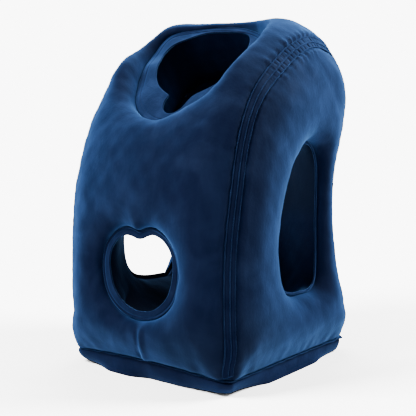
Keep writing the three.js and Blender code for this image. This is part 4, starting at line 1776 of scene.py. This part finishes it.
@dataclass
class Studio:
    """Pale floor, soft light and the camera at the photograph's angle."""

    camera_place: tuple[float, float, float] = (0.6850, -0.8846, 0.3138)
    camera_turn: tuple[float, float, float] = (85.7, 0.0, 38.129)
    focal_pixels: float = 730.0
    frame_pixels: float = 416.0
    sensor: float = 36.0
    ambient: float = 0.16
    backdrop: float = 9.0
    floor_half: float = 6000.0
    floor_drop: float = 0.3
    boxes: tuple[SoftBox, ...] = (
        SoftBox("front_box", azimuth=-28, elevation=44, power=62),
        SoftBox("side_box", azimuth=130, elevation=40, power=60),
        SoftBox("top_box", azimuth=218, elevation=66, power=14, size=0.8),
    )

    def build(self) -> None:
        """Adds all of it."""
        self.camera()
        self.world()
        self.floor()
        for box in self.boxes:
            box.build()

    def camera(self) -> None:
        """The photograph's viewpoint."""
        data = bpy.data.cameras.new("camera")
        data.sensor_width = self.sensor
        data.lens = self.focal_pixels / self.frame_pixels * self.sensor
        camera = add_object("camera", data)
        camera.location = self.camera_place
        camera.rotation_euler = [math.radians(a) for a in self.camera_turn]
        bpy.context.scene.camera = camera

    def world(self) -> None:
        """White surroundings, brighter where the camera sees them than in the light they give."""
        world = bpy.data.worlds.new("studio")
        world.use_nodes = True
        tree = world.node_tree
        seen = add_node(tree, "ShaderNodeLightPath", {}, {}).outputs["Is Camera Ray"]
        range_of = {"Value": seen, "To Min": self.ambient, "To Max": self.backdrop}
        strength = add_node(tree, "ShaderNodeMapRange", {}, range_of)
        background = tree.nodes["Background"]
        background.inputs["Color"].default_value = (1, 1, 1, 1)
        tree.links.new(strength.outputs[0], background.inputs["Strength"])
        bpy.context.scene.world = world

    def floor(self) -> None:
        """A wide pale floor that shows only the shadows on it."""
        corners = self.floor_half * np.array([[-1, -1, 0], [1, -1, 0], [1, 1, 0], [-1, 1, 0]], float)
        corners[:, 2] = -self.floor_drop
        floor = mesh_object("floor", corners, np.array([[0, 1, 2, 3]]))
        floor.is_shadow_catcher = True
        s = Shader("pale_floor")
        finish = {"Base Color": (0.9, 0.9, 0.9, 1), "Roughness": 0.9}
        floor.data.materials.append(s.surface(s.node("ShaderNodeBsdfPrincipled", {}, finish)))


def flanges(form: PillowForm) -> list[tuple[Flange, str]]:
    """Each opening's flange with the frame's piece that it stands for.

    Args:
        form: The pillow's form.

    Returns:
        Each flange and that piece's name.
    """
    fin = FlangeLook(bead=0.4, bead_at=2, groove=0, groove_at=3, wave=0.5, wave_length=30, curl=0.3)
    narrow = FlangeLook(
        bead=0.7, bead_at=2.2, groove=0.6, groove_at=5.2, wave=0.35, wave_length=40, curl=0.5
    )
    wide = FlangeLook(bead=0.6, bead_at=2.5, groove=0.8, groove_at=10.5, wave=1.1, wave_length=70, curl=0.4)
    found = []
    for side in Side:
        opening = ArmOpening(form, form.arm_curve, side=side)
        word = side.name.lower()
        found.append((Flange(f"arm_flange_{word}", opening, fin), f"arm_rim_{word}"))
    front = FrontOpening(form, form.front_curve)
    found.append((Flange("front_flange", front, narrow), "front_rim"))
    face = FaceOpening(form, form.face_curve)
    found.append((Flange("face_membrane", face, wide, rows=640, columns=34), "face_panel"))
    return found


def main() -> None:
    """Builds the studio and the pillow's pieces in order."""
    logging.basicConfig(level=logging.INFO, format="%(name)s %(message)s")
    Studio().build()
    # The third material is the base panel's darker velvet, a painted shade.
    velvet, pressed, plain = FLOCKED.build(), PRESSED.build(), SHADED_BASE_VELVET.build()
    form = PillowForm()
    seams = [SeamLine(form, side) for side in Side]
    chamber = ChamberSkin(form, seams, cell=4.0).build()
    dress(chamber, velvet, "velvet", "body_chamber")
    beads = BeadTree()
    for seam in seams:
        welded = SideSeam(seam)
        band = welded.build()
        side = seam.side.name.lower()
        lines = beads.run(f"side_seam_weld_lines_{side}", welded.weld_lines(), False, pressed)
        dress(lines, pressed, "weld")
        dress(band, pressed, "weld", f"side_seam_{side}")
    for flange, node in flanges(form):
        piece = flange.build()
        dress(piece, pressed, "weld", node)
        flange.unrolled()
    base = Base(form)
    panel = BasePanel(base).build()
    # The base panel wears the darker copy of the velvet, a painted shade.
    dress(panel, plain, "velvet", "base_panel")
    edge = BaseSeam(base)
    piece = edge.build()
    dress(piece, pressed, "weld", "base_seam")
    edge.unrolled()
    dress(beads.run("base_seam_weld_line", [edge.line()], True, pressed), pressed, "weld")


if __name__ == "__main__":
    main()
